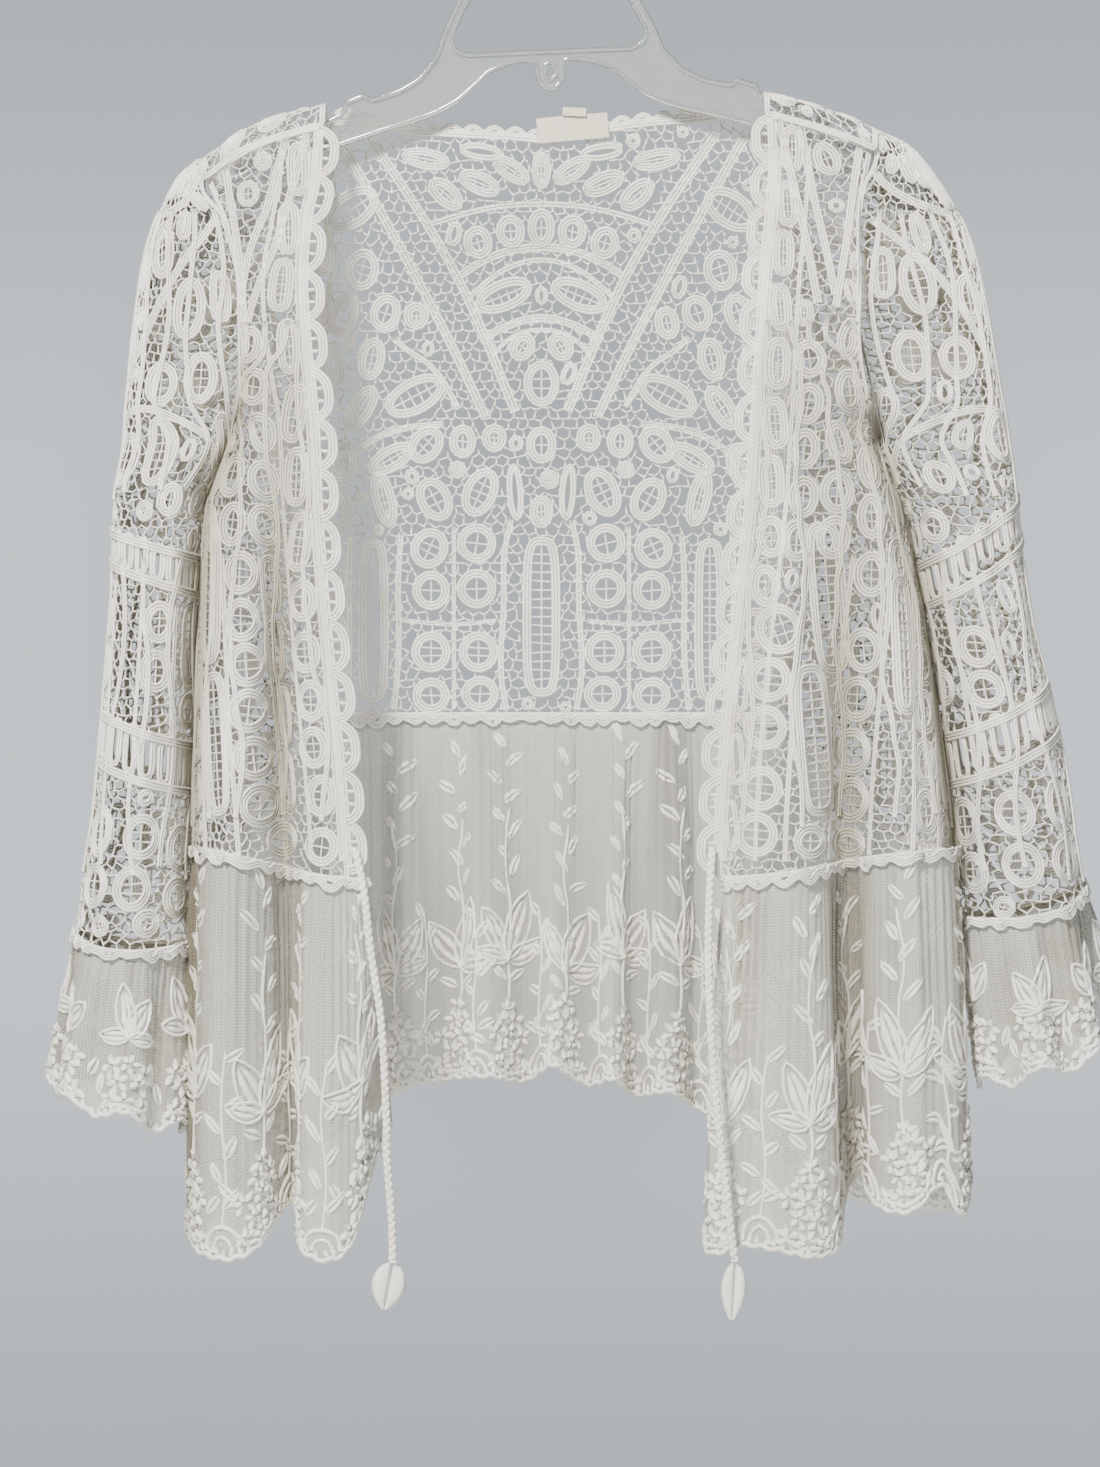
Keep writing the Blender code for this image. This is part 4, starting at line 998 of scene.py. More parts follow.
for side, word in SIDES:
    yarn = Yarn()
    rng = random.Random(9 + side)
    outline = sleeve_outline(side)
    for way in (-1, 1):
        tapes, cells = sleeve_bands(side)
        free = [(m[0] + rng.uniform(-1, 1), m[1] + MOTIF_SHIFT[side] + rng.uniform(-1, 1), *m[2:])
                for m in SLEEVE_MOTIFS]
        wide_tapes = np.concatenate([spread(tape[0], 4.0) for tape in tapes + SLEEVE_TAPES[:3]])
        free = [m for m in free if not in_motifs(rim_of(m), cells, 0.5).any()
                and not in_motifs(wide_tapes, [m[:5]], -3).any()]
        seed = side + 3 * way
        tapes += SLEEVE_TAPES + wander(outline, 90 + seed, 5, -400, -235)
        tapes += wander(outline, 95 + seed, 5, -610, -430)
        motifs = fill(outline, cells + free, [tape[0] for tape in tapes], (17, 14, 11, 9), 70 + seed,
                      2600, 0.2, (1.2, 1.7, 2.3))
        cloth = Cloth(lambda p, z: sleeve_point(side, way, p, z), 0, SLEEVE_W, -652, -185, way)
        crochet(yarn, cloth, outline, motifs, tapes, 6.0, 40 + seed, 1.3)
    # Painted shade: darker beside the body, and on the inward side of the yarn of the back half.
    lace_piece("sleeve_%s_crochet" % word, ["sleeve_%s_front" % word, "sleeve_%s_back" % word], yarn,
               *SLEEVE_CUT[side],
               depth=lambda x, y, z, inner: np.maximum(sleeve_painted_shade(side, x, z) * (0.3 + 0.7 * (y < 12)),
                                                       0.85 * inner * (y > 3)))

# Shell edging: crochet shells 26 mm long down each front edge, a loop of thick tape round a narrow
# slot. A smaller one goes along the back neck.
SHELL, SHELL_FOOT = 26, -603
SHELL_ARCH = [(0.8, 0.46), (5, 0.42), (9.4, 0.25), (10, 0), (9.4, -0.25), (5, -0.42), (0.8, -0.46)]


def front_edge(side, s, z):
    here, back = [np.array(front_point(side, read(SIDE[side], 1, z) + step, z)) for step in (0, 2)]
    return here + (here - back) / np.linalg.norm(here - back) * (1, 0.5, 0) * (0.5 + s)


for side, word in SIDES:
    high = ridge(side, NECK_X[side] + 1) - SEAM_DROP - 1.5
    cloth = Cloth(lambda s, z: front_edge(side, s, z), 0, 14, FRONT_FOOT, high + 2, -1)
    yarn = Yarn()
    shells = int((high - SHELL_FOOT) / SHELL)
    pitch = (high - SHELL_FOOT) / shells
    for i in range(shells):
        z = high - pitch * (i + 0.5)
        arch = [(s, z + f * pitch) for s, f in SHELL_ARCH]
        yarn.tape(*cloth.at(spread(rounded(arch), 1.6), 0.1), 2.7, 1.5)
        for way in (-1, 1):
            yarn.run(*cloth.at(np.array([(1.5, z + way * 3.2), (6.6, z + way * 3.6)])), ROUND, 1.0, 0.9)
    yarn.tape(*cloth.at(spread([(1.6, high), (1.6, SHELL_FOOT)], 2.6)), 1.7, 1.2)
    lace_piece("edging_%s_shells" % word, ["edging_" + word], yarn, (0.0127, 0.42), 0.00533)

base = np.array([back_point(s, t) for s, t in spread(np.array(NECK) * (0.965, 1), 2.0)])
up = toward(1, len(base))
lift = 0.8 + 4.4 * np.sin(np.linspace(0.12, pi - 0.12, 7))
yarn = Yarn()
yarn.tape(base + (0, 0, 1.4), up, 1.6, 1.3)
for i in range(0, len(base) - 6, 6):
    yarn.tape(base[i:i + 7] + np.outer(lift, (0, 0, 1)), up[:7], 1.5, 1.2)
lace_piece("edging_neck_shells", ["edging_neck"], yarn, (0.01, 0.24), 0.00168)

# Gathers: embroidered net, gathered along the lace's hem with a crochet frill over the seam. Fine
# pleats run down from the seam into soft folds, and the hem is scalloped.
BACK_FOLDS = [(-196, 1.2, -196, 1.2, -806), (-190, 20, -191, 22, -806), (-171, 31, -175, 36, -798),
              (-152, 34, -153, 26, -789), (-132, 35, -135, 42, -770), (-112, 35, -112, 27, -752),
              (-95, 35, -94, 43, -739), (-78, 35, -77, 26, -728), (-58, 35, -57, 43, -726),
              (-36, 35, -34, 24, -722), (-14, 35, -12, 43, -727), (5, 35, 4, 25, -716),
              (24, 35, 24, 42, -729), (38, 35, 38, 25, -724), (54, 35, 52, 43, -735),
              (70, 35, 70, 24, -731), (86, 35, 86, 43, -742), (102, 35, 102, 27, -748),
              (124, 35, 126, 42, -765), (146, 35, 148, 27, -780), (170, 35, 172, 38, -792),
              (194, 34, 198, 30, -797), (216, 24, 220, 26, -797), (228, 1.2, 231, 1.2, -796)]
FRONT_FOLDS = {
    LEFT: [(-196, -1.2, -197, -1.2, -806), (-195, -16, -197, -18, -806), (-187, -33, -190, -40, -811),
           (-172, -44, -172, -52, -814), (-156, -38, -157, -47, -808), (-146, -22, -146, -24, -790),
           (-139, -24, -138, -20, -786), (-131, -37, -134, -44, -806), (-119, -44, -120, -55, -814),
           (-108, -41, -106, -48, -806), (-101, -32, -97, -30, -770), (-95, -24, -85, -14, -742)],
    RIGHT: [(98, -33, 88, -26, -806), (103, -41, 92, -44, -812), (116, -47, 108, -54, -806),
            (132, -49, 126, -57, -808), (148, -42, 147, -54, -812), (157, -24, 163, -38, -806),
            (164, -12, 169, -16, -780), (172, -14, 176, -14, -770), (181, -30, 182, -38, -786),
            (195, -46, 199, -50, -788), (210, -45, 216, -46, -774), (221, -36, 228, -40, -792),
            (228, -18, 234, -22, -780), (229, -1.2, 232, -1.2, -796)],
}
FRONT_STEPS = {LEFT: 150, RIGHT: 176}
CUFF_TUBE = {LEFT: (-238, 38, 49, -747, -724), RIGHT: (280, 38, 50, -722, -700)}
CUFF_WAVES = 7
SCALLOP, PLEAT, SWAY, NET_T = 9.5, 5.5, 13, 0.4


def curve(rows, count):
    """Smooth path through the rows of a table."""
    path, n = [], len(rows) - 1
    for k in range(count + 1):
        f = k / count * n
        i = min(n - 1, int(f))
        t = f - i
        near = [rows[max(0, i - 1)], rows[i], rows[i + 1], rows[min(n, i + 2)]]
        path.append([0.5 * (2 * near[1][c] + (near[2][c] - near[0][c]) * t
                            + (2 * near[0][c] - 5 * near[1][c] + 4 * near[2][c] - near[3][c]) * t * t
                            + (3 * near[1][c] - near[0][c] - 3 * near[2][c] + near[3][c]) * t ** 3)
                     for c in range(len(rows[0]))])
    return path


# Cotton tulle: six-sided holes 1.1 mm wide, so it veils what is behind it, with painted shade that turns it warm
# olive-brown in its folds and hollows.
# Drawn 1.6 mm wide, as coarse as it needs to show.
def tulle():
    made, tree, base = finish("cotton_tulle", Roughness=0.9, Sheen_Weight=0.15)
    painted_shade = node(tree, "ShaderNodeAttribute", {"attribute_name": "painted_shade"})
    # Painted shade: the net's colour mixes toward dark olive #7F765F by its shade attribute.
    tinted(tree, base, painted_shade.outputs["Fac"], srgb("#D3D3C7"), srgb("#7F765F"))
    flat = node(tree, "ShaderNodeUVMap")
    holes = node(tree, "ShaderNodeTexVoronoi", {"feature": "DISTANCE_TO_EDGE"}, {"Vector": flat.outputs["UV"]},
                 Scale=1000 / 1.6, Randomness=0.25)
    thread = node(tree, "ShaderNodeMapRange", None, {"Value": holes.outputs["Distance"]},
                  From_Min=0.10, From_Max=0.24, To_Min=0.62, To_Max=0.22)
    tree.links.new(thread.outputs["Result"], base.inputs["Alpha"])
    return made


TULLE = tulle()


def smooth_all(value):
    value = within(value)
    return value * value * (3 - 2 * value)


def slab_faces(cols, rows):
    """Faces of a two-layer sheet with a closed rim, its points counted up each column."""
    w, n = rows + 1, (cols + 1) * (rows + 1)
    i, j = np.meshgrid(np.arange(cols), np.arange(rows), indexing="ij")
    a = (i * w + j).ravel()
    faces = np.concatenate([np.stack([a, a + w, a + w + 1, a + 1], 1),
                            np.stack([a, a + 1, a + w + 1, a + w], 1) + n])
    rim = [*range(w), *(k * w + rows for k in range(1, cols + 1)),
           *(cols * w + k for k in range(rows - 1, -1, -1)), *(k * w for k in range(cols - 1, 0, -1))]
    return faces.tolist() + [(rim[k - 1], rim[k], rim[k] + n, rim[k - 1] + n) for k in range(len(rim))]


class Gather:
    """Net hanging from a seam: a wavy path at the seam and at the hem, with fine pleats between."""

    def __init__(self, path, tops, around, seed):
        rng = np.random.default_rng(seed)
        self.path, self.tops, self.around = np.array(path), np.array(tops), around
        seam, hem = self.path[:, :2], self.path[:, 2:4]
        self.u = arc_length(hem)
        self.width = self.u[-1]
        way = np.gradient((seam + hem) / 2, axis=0)
        self.out = unit(np.stack([way[:, 1], -way[:, 0]], 1))
        n = max(3, int(self.width / PLEAT))
        in_out = np.where(np.arange(2 * n + 1) % 2, 1.0, -1.0)
        self.pleats = np.interp(self.u, np.linspace(0, self.width, 2 * n + 1),
                                in_out * rng.uniform(0.4, 1.0, 2 * n + 1))
        m = max(3, int(self.width / SWAY))
        self.sway = np.interp(self.u, np.linspace(0, self.width, m + 1), rng.uniform(-1, 1, m + 1))
        if around:
            self.pleats[-1], self.sway[-1] = self.pleats[0], self.sway[0]

    def place(self, u, h):
        """Places for distances u along the hem and shares h of the height, 0 hem to 1 seam."""
        def col(values):
            return np.interp(u, self.u, values)
        v = 1 - h
        f = within(v) ** 0.85
        x = col(self.path[:, 0]) * (1 - f) + col(self.path[:, 2]) * f
        y = col(self.path[:, 1]) * (1 - f) + col(self.path[:, 3]) * f
        fine = 2.1 * col(self.pleats) * np.minimum(1, v * 9) * np.exp(-1.7 * v)
        slow = 5.2 * col(self.sway) * smooth_all(v * 3) * (0.8 + 0.2 * np.sin(4.3 * v + u / 31))
        slow = slow * (1 - 0.45 * v)
        x, y = x + col(self.out[:, 0]) * (fine + slow), y + col(self.out[:, 1]) * (fine + slow)
        z = col(self.tops) * (1 - v) + col(self.path[:, 4]) * v
        z = z + 2.0 * (1 - np.abs(np.sin(pi * u / SCALLOP))) * within(1 - h * 12)
        return np.stack([x, y, z], 1)

    def at(self, flat, lift=0.0):
        u, h = flat[:, 0] % self.width if self.around else flat[:, 0], flat[:, 1]
        across = self.place(u + 0.7, h) - self.place(u - 0.7, h)
        up = self.place(u, h + 0.006) - self.place(u, h - 0.006)
        normal = unit(np.cross(across, up))
        return self.place(u, h) + normal * lift, normal

    def net(self, name, rows, depth):
        """The net itself, and its mean height."""
        uu, hh = [grid.ravel() for grid in np.meshgrid(self.u, np.linspace(0, 1, rows + 1), indexing="ij")]
        here, normal = self.at(np.stack([np.clip(uu, 0.01, self.width - 0.01), hh], 1))
        # Painted shade in the folds: darker where the sway and pleats turn inward, more toward the seam.
        painted_fold_shade = np.maximum(0, -np.interp(uu, self.u, 0.75 * self.sway + 0.3 * self.pleats)) * (0.4 + 0.6 * hh)
        deep = [np.clip(within(depth(*here.T, inner)) + painted_fold_shade, 0, 0.95) for inner in (0, 1)]
        spots = np.concatenate([here + normal * NET_T / 2, here - normal * NET_T / 2])
        made = new_piece(name, spots, slab_faces(len(self.u) - 1, rows), TULLE, np.concatenate(deep))
        tall = float(np.abs(self.tops - self.path[:, 4]).mean())
        loops = np.empty(len(made.data.loops), int)
        made.data.loops.foreach_get("vertex_index", loops)
        flat = np.stack([uu * MM, hh * tall * MM], 1)
        uv = made.data.uv_layers.new(name="UVMap")
        uv.data.foreach_set("uv", np.concatenate([flat, flat])[loops].ravel())
        return made, tall


class Needle:
    """Satin stitch on the net. Places are in mm along the hem and up from it."""

    def __init__(self, cloth, tall, seed):
        self.cloth, self.tall, self.yarn, self.rng = cloth, tall, Yarn(), random.Random(seed)

    def sew(self, flat, half, high, section=PAD, shut=False):
        self.yarn.run(*self.cloth.at(flat / (1, self.tall)), section, half, high, shut)

    def leaf(self, u, v, long, wide, turn, high=1.1, count=7):
        for flat, half in leaf_shape(long, wide, turn, count):
            self.sew(flat + (u, v), half, high * (half / half.max()) ** 0.5)

    def bud(self, u, v, long, wide, turn, high):
        along = np.linspace(-0.47, 0.47, 3) * long
        half = wide / 2 * np.sqrt(1 - (along / (long / 2)) ** 2 * 0.9)
        self.sew(np.stack(turned(0, along, turn), 1) + (u, v), half, high * half / (wide / 2))

    def line(self, points, half, high):
        self.sew(spread(rounded(points), 3.5), half, high)

    def flower(self, u, v, size):
        """Five raised petals round an open eye."""
        first = self.rng.uniform(0, 72)
        for k in range(5):
            turn = first + 72 * k + self.rng.uniform(-10, 10)
            du, dv = turned(size, 0, turn)
            self.bud(u + du, v + dv, 1.4 * size, 1.12 * size, turn - 90, self.rng.uniform(1.5, 2.6))

    def big_leaf(self, u, v, long, wide, turn):
        """A leaf of two padded halves inside a corded rim."""
        du, dv = turned(0, 0.1 * long, turn)
        self.leaf(u + du, v + dv, long * 0.8, wide * 0.62, turn, 0.8, 8)
        a = np.r_[np.linspace(0, 1, 9), np.linspace(0.9, 0, 8)]
        reach = leaf_half(a, wide) * np.r_[np.ones(9), -np.ones(8)]
        self.sew(np.stack(turned(reach, a * long, turn), 1) + (u, v), 0.95, 1.4)


FLOWERS = ((9, (-11, 0, 11)), (19.5, (-7, 4.5)), (28, (-11.5, -1.5, 9)), (37, (-5, 5)), (45, (-1,)))
LARGE_LEAVES = ((-20, 44, 17), (30, 35, 15), (-76, 29, 12), (78, 24, 10))


# Stitched in bright cotton: to each repeat a cluster of flowers over the scalloped hem, a bunch of
# large leaves and a leafy stem; twigs stand between. The short one of the cuffs has no stem or twigs.
def embroider(cloth, tall, seed, repeat, short):
    needle = Needle(cloth, tall, seed)
    rng, width = needle.rng, cloth.width
    hem = np.arange(0.5, width - 0.4, 1.6)
    needle.sew(np.stack([hem, np.ones(len(hem))], 1), 1.5, 1.4, ROUND, cloth.around)
    for k in range(int(width / (SCALLOP / 2))):
        u = (k + 0.5) * SCALLOP / 2
        if u < width - 2:
            needle.bud(u, 4.0 + 0.8 * (k % 2), 4.6, 3.6, rng.uniform(-30, 30), 1.4)
    count = max(1, int(round(width / repeat)))
    pitch = width / count
    for k in range(count):
        mid = (k + 0.5) * pitch + rng.uniform(-5, 5)
        low, flip = rng.uniform(-8, 8), rng.choice((-1, 1))

        def at(du, dv):
            return (mid + du if cloth.around else min(width - 1.5, max(1.5, mid + du)), dv)
        for dv, places in FLOWERS[:3] if short else FLOWERS:
            for du in places:
                spot = at(flip * du + rng.uniform(-1.3, 1.3), dv + rng.uniform(-1.3, 1.3))
                needle.flower(*spot, rng.uniform(3.5, 4.4))
        for du, dv, lean in () if short else ((-17, 30, 40), (17, 22, -48)):
            needle.leaf(*at(du, dv), 13, 5.5, lean + rng.uniform(-15, 15), 1.3)
        needle.line([at(-14, 14), at(-13, 7), at(-6, 4.5), at(6, 4.5), at(13, 7), at(14, 14)], 1.5, 1.6)
        bunch = (40 if short else 47 + rng.uniform(22, 30)) + low
        if not short:
            needle.line([at(0, 44), at(2 * flip, (47 + bunch) / 2), at(0, bunch + 2)], 1.0, 1.2)
            for way in (-1, 1):
                needle.leaf(*at(way * 2, bunch - 12), 13, 5.5, way * -58)
        size = 0.74 if short else 1.0
        for turn, long, wide in LARGE_LEAVES if k % 2 else LARGE_LEAVES[:3]:
            needle.big_leaf(*at(0, bunch), long * size, wide * size, flip * (turn + rng.uniform(-6, 6)))
        if short:
            for way in (-1, 1):
                needle.leaf(*at(way * 19, 18 + 4 * way), 13, 5.5, way * rng.uniform(-30, 10))
            continue
        needle.line([at(0, bunch + 2), at(flip * 4, bunch + 34), at(-flip * 3, bunch + 60),
                     at(flip * 3, min(bunch + 92, tall - 8))], 0.9, 1.1)
        for i in range(9):
            v = bunch + 40 + 11 * i
            if v > tall - 12:
                break
            way = -1 if i % 2 else 1
            needle.leaf(*at(flip * 3 * sin(i * 0.9) + way, v), rng.uniform(12, 17), rng.uniform(5, 6.5),
                        -way * rng.uniform(28, 62), count=6)
        for way in (-1, 1):
            foot = mid + way * pitch * 0.5
            if not cloth.around and not 4 < foot < width - 4 or way < 0 and (cloth.around or k > 0):
                continue
            for half, wide, high in ((1.4, 10, 17), (1.1, 5.5, 12)):
                arch = ((-1, 4), (-0.9, high * 0.7), (-0.3, high), (0.3, high), (0.9, high * 0.7), (1, 4))
                needle.line([(foot + wide * f, v) for f, v in arch], half, 1.4)
            needle.line([(foot, 17), (foot + 3, 44), (foot - 2, 74), (foot + 2, 104)], 0.8, 1.0)
            for i in range(7):
                leans = -1 if i % 2 else 1
                needle.leaf(foot + 1.2 * leans, 26 + 12 * i, rng.uniform(11, 16), rng.uniform(4.8, 6.2),
                            -leans * rng.uniform(30, 60), count=6)
    return needle.yarn


def frill(cloth, yarn, tall, seed, ways):
    """Puffed crochet border of the lace, standing in uneven waves over the gathered seam."""
    rng = np.random.default_rng(seed)
    for wave, deep, half, out in ((15, 6.5, 2.2, 2.2), (9, 2.5, 1.5, 1.4)):
        count = max(3, int(cloth.width / wave))
        knots = np.arange(2 * count + 1) / (2 * count) * cloth.width
        depth = np.where(np.arange(2 * count + 1) % 2, rng.uniform(0.45, 1.25, 2 * count + 1), 0.0) * deep
        u = np.linspace(0.8, cloth.width - 0.8, 10 * count)
        down = 1.0 + np.interp(u, knots, depth)
        down = np.convolve(np.pad(down, 2, "edge"), np.ones(5) / 5, "valid")
        for way in ways:
            place, up = cloth.at(np.stack([u, 1 + (2.5 - down) / tall], 1), way * out)
            yarn.tape(place, up * way, half, 1.2)


def gathered(name, solid, path, tops, around, rows, seed, depth, repeat, short=False, ways=(1,)):
    cloth = Gather(path, tops, around, seed)
    made, tall = cloth.net(name + "_net", rows, depth)
    stitches = embroider(cloth, tall, seed, repeat, short)
    frill(cloth, stitches, tall, seed, ways)
    # Painted shade on the stitches too, at 0.55 of the net's.
    worked = stitches.piece(name + "_embroidery", SATIN, lambda x, y, z, inner: 0.55 * depth(x, y, z, inner))
    for piece in (made, worked):
        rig.replaces(piece, solid)
        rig.slot(piece, "embroidered_net")
    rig.sheet(made, flat=(round(cloth.width * MM, 3), round(tall * MM, 3)), held="gathered", rests_on=[],
             with_pieces=[worked])


path = curve(BACK_FOLDS, 300)
for row in path:
    if abs(row[0]) < read(SIDE[LEFT if row[0] < 0 else RIGHT], 2, WAIST_SIDE) - CORNER_X:
        row[1] = back_point(row[0], waist(row[0]))[1]
# Painted shade: the back gathers darken on their inward side where they lie further back, most toward the hem.
gathered("back_gathers", "back_ruffle", path[::-1], [waist(row[0]) - 1.3 for row in path[::-1]], False, 22, 31,
         lambda x, y, z, inner: inner * (y - 30) / 18 * np.clip((-540 - z) / 90, 0, 1), 46, ways=(1, -1))

for side, word in SIDES:
    path = curve(FRONT_FOLDS[side], FRONT_STEPS[side])
    for row in path:
        if abs(row[0]) < read(SIDE[side], 2, WAIST_SIDE) - CORNER_X:
            row[1] = front_point(side, max(abs(row[0]), read(SIDE[side], 1, FRONT_FOOT)), -604)[1]
    # Painted shade: the front gathers darken where they lie further back.
    gathered("front_%s_gathers" % word, "front_ruffle_" + word, path,
             [front_hem(side, abs(row[0])) - 1.2 for row in path], False, 24, 33 + side,
             lambda x, y, z, inner: 0.12 + (y + 42) / 25, 48)

for side, word in SIDES:
    centre, wide, deep, low_in, low_out = CUFF_TUBE[side]
    path, tops, count = [], [], 168
    for k in range(count + 1):
        way = -1 if k < count / 2 else 1
        p = SLEEVE_W * (k if way < 0 else count - k) / (count / 2)
        x0, y0, z0 = sleeve_point(side, way, p, sleeve_hem(side, p))
        turn = pi + 2 * pi * k / count
        wave = cos(CUFF_WAVES * turn)
        share = 0.5 + 0.5 * cos(turn)
        path.append((x0, y0, centre + side * wide * cos(turn) * (1 + 0.07 * wave),
                     2 + deep * sin(turn) * (1 + 0.10 * wave), low_in + (low_out - low_in) * share + 4 * wave))
        tops.append(z0 - 1)
    if side == LEFT:
        path, tops = path[::-1], tops[::-1]
    # Painted shade: the cuff gathers darken on their inward side where they lie further back.
    gathered("sleeve_%s_gathers" % word, "sleeve_ruffle_" + word, path, tops, True, 14, 37 + side,
             lambda x, y, z, inner: inner * (y + 22) / 22, 44, True)

# Labels: a bare woven cotton tape, folded and sewn at the back neck, with a narrow one tucked over
# it. Its warp shows as fine ribs.
LABEL_X, LABEL_Z, LABEL_COLS, LABEL_ROWS = 15.5, -186, 16, 6


def woven_tape():
    """Cream cotton tape with ribs 0.5 mm apart, drawn 1 mm apart, as coarse as they need to show."""
    made, tree, base = finish("woven_cotton_tape", Roughness=0.8)
    spot = node(tree, "ShaderNodeTexCoord").outputs["Object"]
    ribs = node(tree, "ShaderNodeTexWave", {"bands_direction": "X"}, {"Vector": spot},
                Scale=1000 / 1.0 / 2 / pi, Distortion=0.6)
    tinted(tree, base, ribs.outputs["Fac"], srgb("#D9CEBB"), srgb("#E3D9C8"))
    relief(tree, base, ribs.outputs["Fac"], 0.4, 0.0003)
    return made


LABEL_TAPE = woven_tape()


def tape_label(name, x, y, z, wide, high, thick, turn, bow):
    """A soft tape label: a thin bowed slab."""
    spots = []
    for way in (-1, 1):
        for i in range(LABEL_COLS + 1):
            for j in range(LABEL_ROWS + 1):
                a, b = (i / LABEL_COLS - 0.5) * wide, (j / LABEL_ROWS - 0.5) * high
                bowed = bow - bow * cos(pi * a / wide) * (0.5 + j / LABEL_ROWS / 2) + 0.12 * sin(a * 0.9 + b)
                u, v = turned(a, b, turn)
                spots.append((x + u, y + way * thick / 2 + bowed, z + v))
    made = new_piece(name, spots, slab_faces(LABEL_COLS, LABEL_ROWS), LABEL_TAPE, smooth_faces=False)
    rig.replaces(made, name)
    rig.slot(made, "label_tape")
    if high > 9:
        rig.sheet(made, flat=(wide * MM, high * MM), held="laid", rests_on=[])


tape_label("neck_label", LABEL_X, 7.6, LABEL_Z, 40, 14, 0.8, 5, 0.5)
tape_label("size_label", LABEL_X + 1, 5.9, LABEL_Z + 8.7, 13, 4.6, 0.9, -3, 0.3)

# Hanger: clear polystyrene, injection moulded, with a rib along its rims. It leans a little, and
# its arms carry the shoulders.
HANG_T = 6
TILT = radians(2.4)
CROWN = [(0, -87), (20, -88), (34, -92), (44, -101), (51, -116), (60, -134), (64.4, -146), (74, -157),
         (86, -163.5), (102, -167.5), (103, -163.5), (116, -168.5), (117, -174), (130, -180.5),
         (168, -202), (196, -218), (205, -225), (207, -231), (204, -237), (196, -236),
         (160, -214.5), (126, -195), (95, -186), (68, -178.7), (53, -172), (42, -163),
         (34, -155.8), (21, -151), (8.5, -150), (8.2, -160), (5, -165.5), (0, -167)]
WINDOW = [(0, -95), (18, -96), (30, -99.5), (38, -107), (46, -120), (54, -136), (51, -142.5), (44, -144),
          (0, -144)]
SLOT = [(0, -152), (2.2, -153.5), (2.2, -158), (0, -160)]

# Clear polystyrene: moulded and glossy, faintly grey in its depth, bright along its ribs.
STYRENE, tree, base = finish("clear_polystyrene", Base_Color=srgb("#F3F6F6"), Roughness=0.07, IOR=1.59,
                             Transmission_Weight=0.84, Coat_Weight=1.0)
spot = node(tree, "ShaderNodeTexCoord").outputs["Object"]
waves = node(tree, "ShaderNodeTexNoise", None, {"Vector": spot}, Scale=60.0, Detail=1.0)
relief(tree, base, waves.outputs["Fac"], 0.12, 0.002)


def lean(x, z):
    """A place on the tilted hanger, which turns about the top of its crown."""
    dz = z - CROWN[0][1]
    return x * cos(TILT) - dz * sin(TILT), 0, x * sin(TILT) + dz * cos(TILT) + CROWN[0][1]


def both(half):
    return half + [(-x, z) for x, z in half[::-1] if x != 0]


loops = [both(CROWN), both(WINDOW), both(SLOT)]
points, edges = [], []
for loop in loops:
    first = len(points)
    points += loop
    edges += [(first + i, first + (i + 1) % len(loop)) for i in range(len(loop))]
flat, _, tris, *_ = delaunay_2d_cdt([Vector(p) for p in points], edges, [], 0, 1e-5)
rim, window, slot = [np.array(loop) for loop in loops]
mids = np.array([sum((flat[i] for i in tri), Vector((0, 0))) / 3 for tri in tris])
solid = in_outline(mids, rim) & ~in_outline(mids, window) & ~in_outline(mids, slot)
plate = new_piece("hanger_plate", [lean(x, z) for x, z in flat],
                  [tuple(tri) for tri, good in zip(tris, solid) if good], STYRENE, smooth_faces=False)
wall = plate.modifiers.new("wall", "SOLIDIFY")
wall.thickness = (HANG_T - 3.2) * MM
wall.offset = 0
bevel = plate.modifiers.new("edge", "BEVEL")
bevel.width = 0.5 * MM
bevel.segments = 2
ribs = Yarn()
RIB = [(-1, -1), (-1, 1), (-0.6, 1.12), (0.6, 1.12), (1, 1), (1, -1), (0.6, -1.12), (-0.6, -1.12)]
RIB_HALF = 1.1
for loop, step, way in ((rim, 4.0, 1), (window, 4.0, -1), (slot, 1.5, -1)):
    flat = spread(loop, step, True)
    along = unit(tangent(flat, True))
    area = 0.5 * np.sum(loop[:, 0] * np.roll(loop[:, 1], -1) - np.roll(loop[:, 0], -1) * loop[:, 1])
    inward = np.stack([-along[:, 1], along[:, 0]], 1) * np.sign(area) * way
    place = np.array([lean(x, z) for x, z in flat + inward * RIB_HALF])
    ribs.run(place, toward(-1, len(place)), RIB, RIB_HALF, HANG_T / 2 / 1.12, True)
ribs = ribs.piece("hanger_ribs", STYRENE)
for made in (plate, ribs):
    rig.replaces(made, "hanger")
    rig.slot(made, "clear_styrene")

# Hook: steel wire 4 mm thick, bent and polished, screwed into the hanger's crown.
HOOK_R, WIRE_D = 20, 4
STEEL, *_ = finish("polished_steel", Base_Color=srgb("#C9CACC"), Metallic=1.0, Roughness=0.22)
path = [(0, 0, -86.4), (0, 0, -70), (0, 0, -56), (1.2, 0, -50), (4, 0, -45), (8, 0, -41.5)]
for i in range(41):
    turn = radians(-50 + 250 * i / 40)
    path.append((HOOK_R * cos(turn), 0, -HOOK_R + WIRE_D / 2 + HOOK_R * sin(turn)))
wire = Yarn()
thick = np.full(len(path), WIRE_D / 2)
thick[-1] = 1.3
wire.run(np.array(path, float), toward(-1, len(path)), corners(12), thick, thick)
hook = wire.piece("hook_wire", STEEL)
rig.replaces(hook, "hanger_hook")
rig.slot(hook, "hook_steel")

# Looks of the studio: pale air round the garment, with a painted shadow of the garment on it, a pale floor out of the
# frame, soft lights.
world = bpy.data.worlds.new("air")
world.use_nodes = True
bpy.context.scene.world = world
tree = world.node_tree


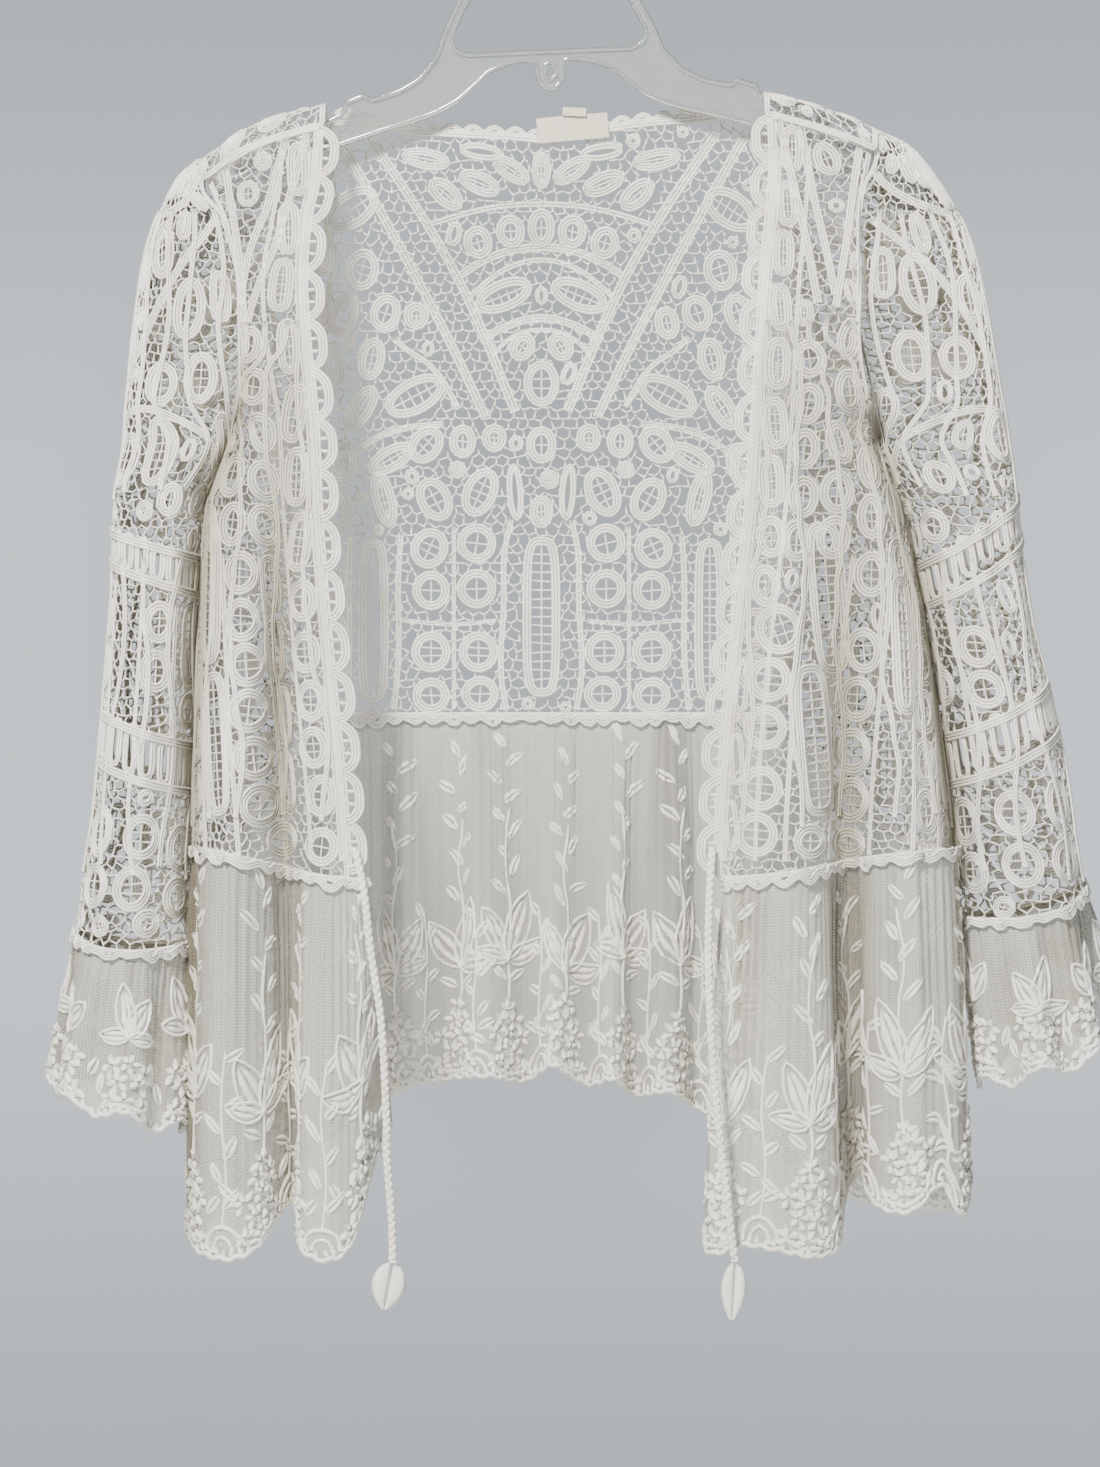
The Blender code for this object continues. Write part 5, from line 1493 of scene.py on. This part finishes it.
def eased(value, low, high, start, end):
    return node(tree, "ShaderNodeMapRange", {"interpolation_type": "SMOOTHSTEP"}, {"Value": value},
                From_Min=low, From_Max=high, To_Min=start, To_Max=end).outputs["Result"]


def maths(operation, *values):
    return node(tree, "ShaderNodeMath", {"operation": operation}, dict(enumerate(values))).outputs[0]


way = node(tree, "ShaderNodeTexCoord").outputs["Generated"]
part = node(tree, "ShaderNodeSeparateXYZ", None, {"Vector": way})
height = eased(maths("ABSOLUTE", part.outputs["Z"]), 0.04, 0.24, 1.0, 0.62)
depth = eased(part.outputs["Y"], 0.72, 0.95, 0.2, 1.2)
# Painted shadow of the garment on the air: dimmer in an ellipse of directions just behind the garment.
off = node(tree, "ShaderNodeMapping", None, {"Vector": way},
           Location=(0.0, 0.0, -0.02 / 0.15), Scale=(1 / 0.15, 0.0, 1 / 0.17))
far = node(tree, "ShaderNodeVectorMath", {"operation": "LENGTH"}, {0: off.outputs["Vector"]})
painted_wall_shadow = eased(far.outputs["Value"], 0.35, 1.15, 0.62, 1.0)
air = tree.nodes["Background"]
tree.links.new(maths("MULTIPLY", maths("MULTIPLY", height, depth), painted_wall_shadow), air.inputs["Strength"])
air.inputs["Color"].default_value = srgb("#E2EAEF")

mesh = bpy.data.meshes.new("floor")
mesh.from_pydata([(-3, -3, -1.35), (3, -3, -1.35), (3, 1.3, -1.35), (-3, 1.3, -1.35)], [], [(0, 1, 2, 3)])
floor = bpy.data.objects.new("floor", mesh)
bpy.context.scene.collection.objects.link(floor)
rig.stage(floor)


def soft_light(name, place, aim, size, power, tint):
    data = bpy.data.lights.new(name, "AREA")
    data.shape = "RECTANGLE"
    data.size, data.size_y = size
    data.energy = power
    data.color = srgb(tint)[:3]
    made = bpy.data.objects.new(name, data)
    made.location = place
    made.rotation_euler = (Vector(aim) - Vector(place)).to_track_quat("-Z", "Y").to_euler()
    bpy.context.scene.collection.objects.link(made)


soft_light("window", (-0.75, -1.9, 1.15), (0, 0, -0.45), (0.45, 0.45), 165, "#FFFCF6")
soft_light("room", (1.6, -1.8, 0.0), (0, 0, -0.5), (1.2, 1.2), 16, "#F2F6FF")

with open("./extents.json", "w") as out:
    json.dump({"cad": [list(v) for v in cad_box], "visual": [list(v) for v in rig.bounds()]}, out)
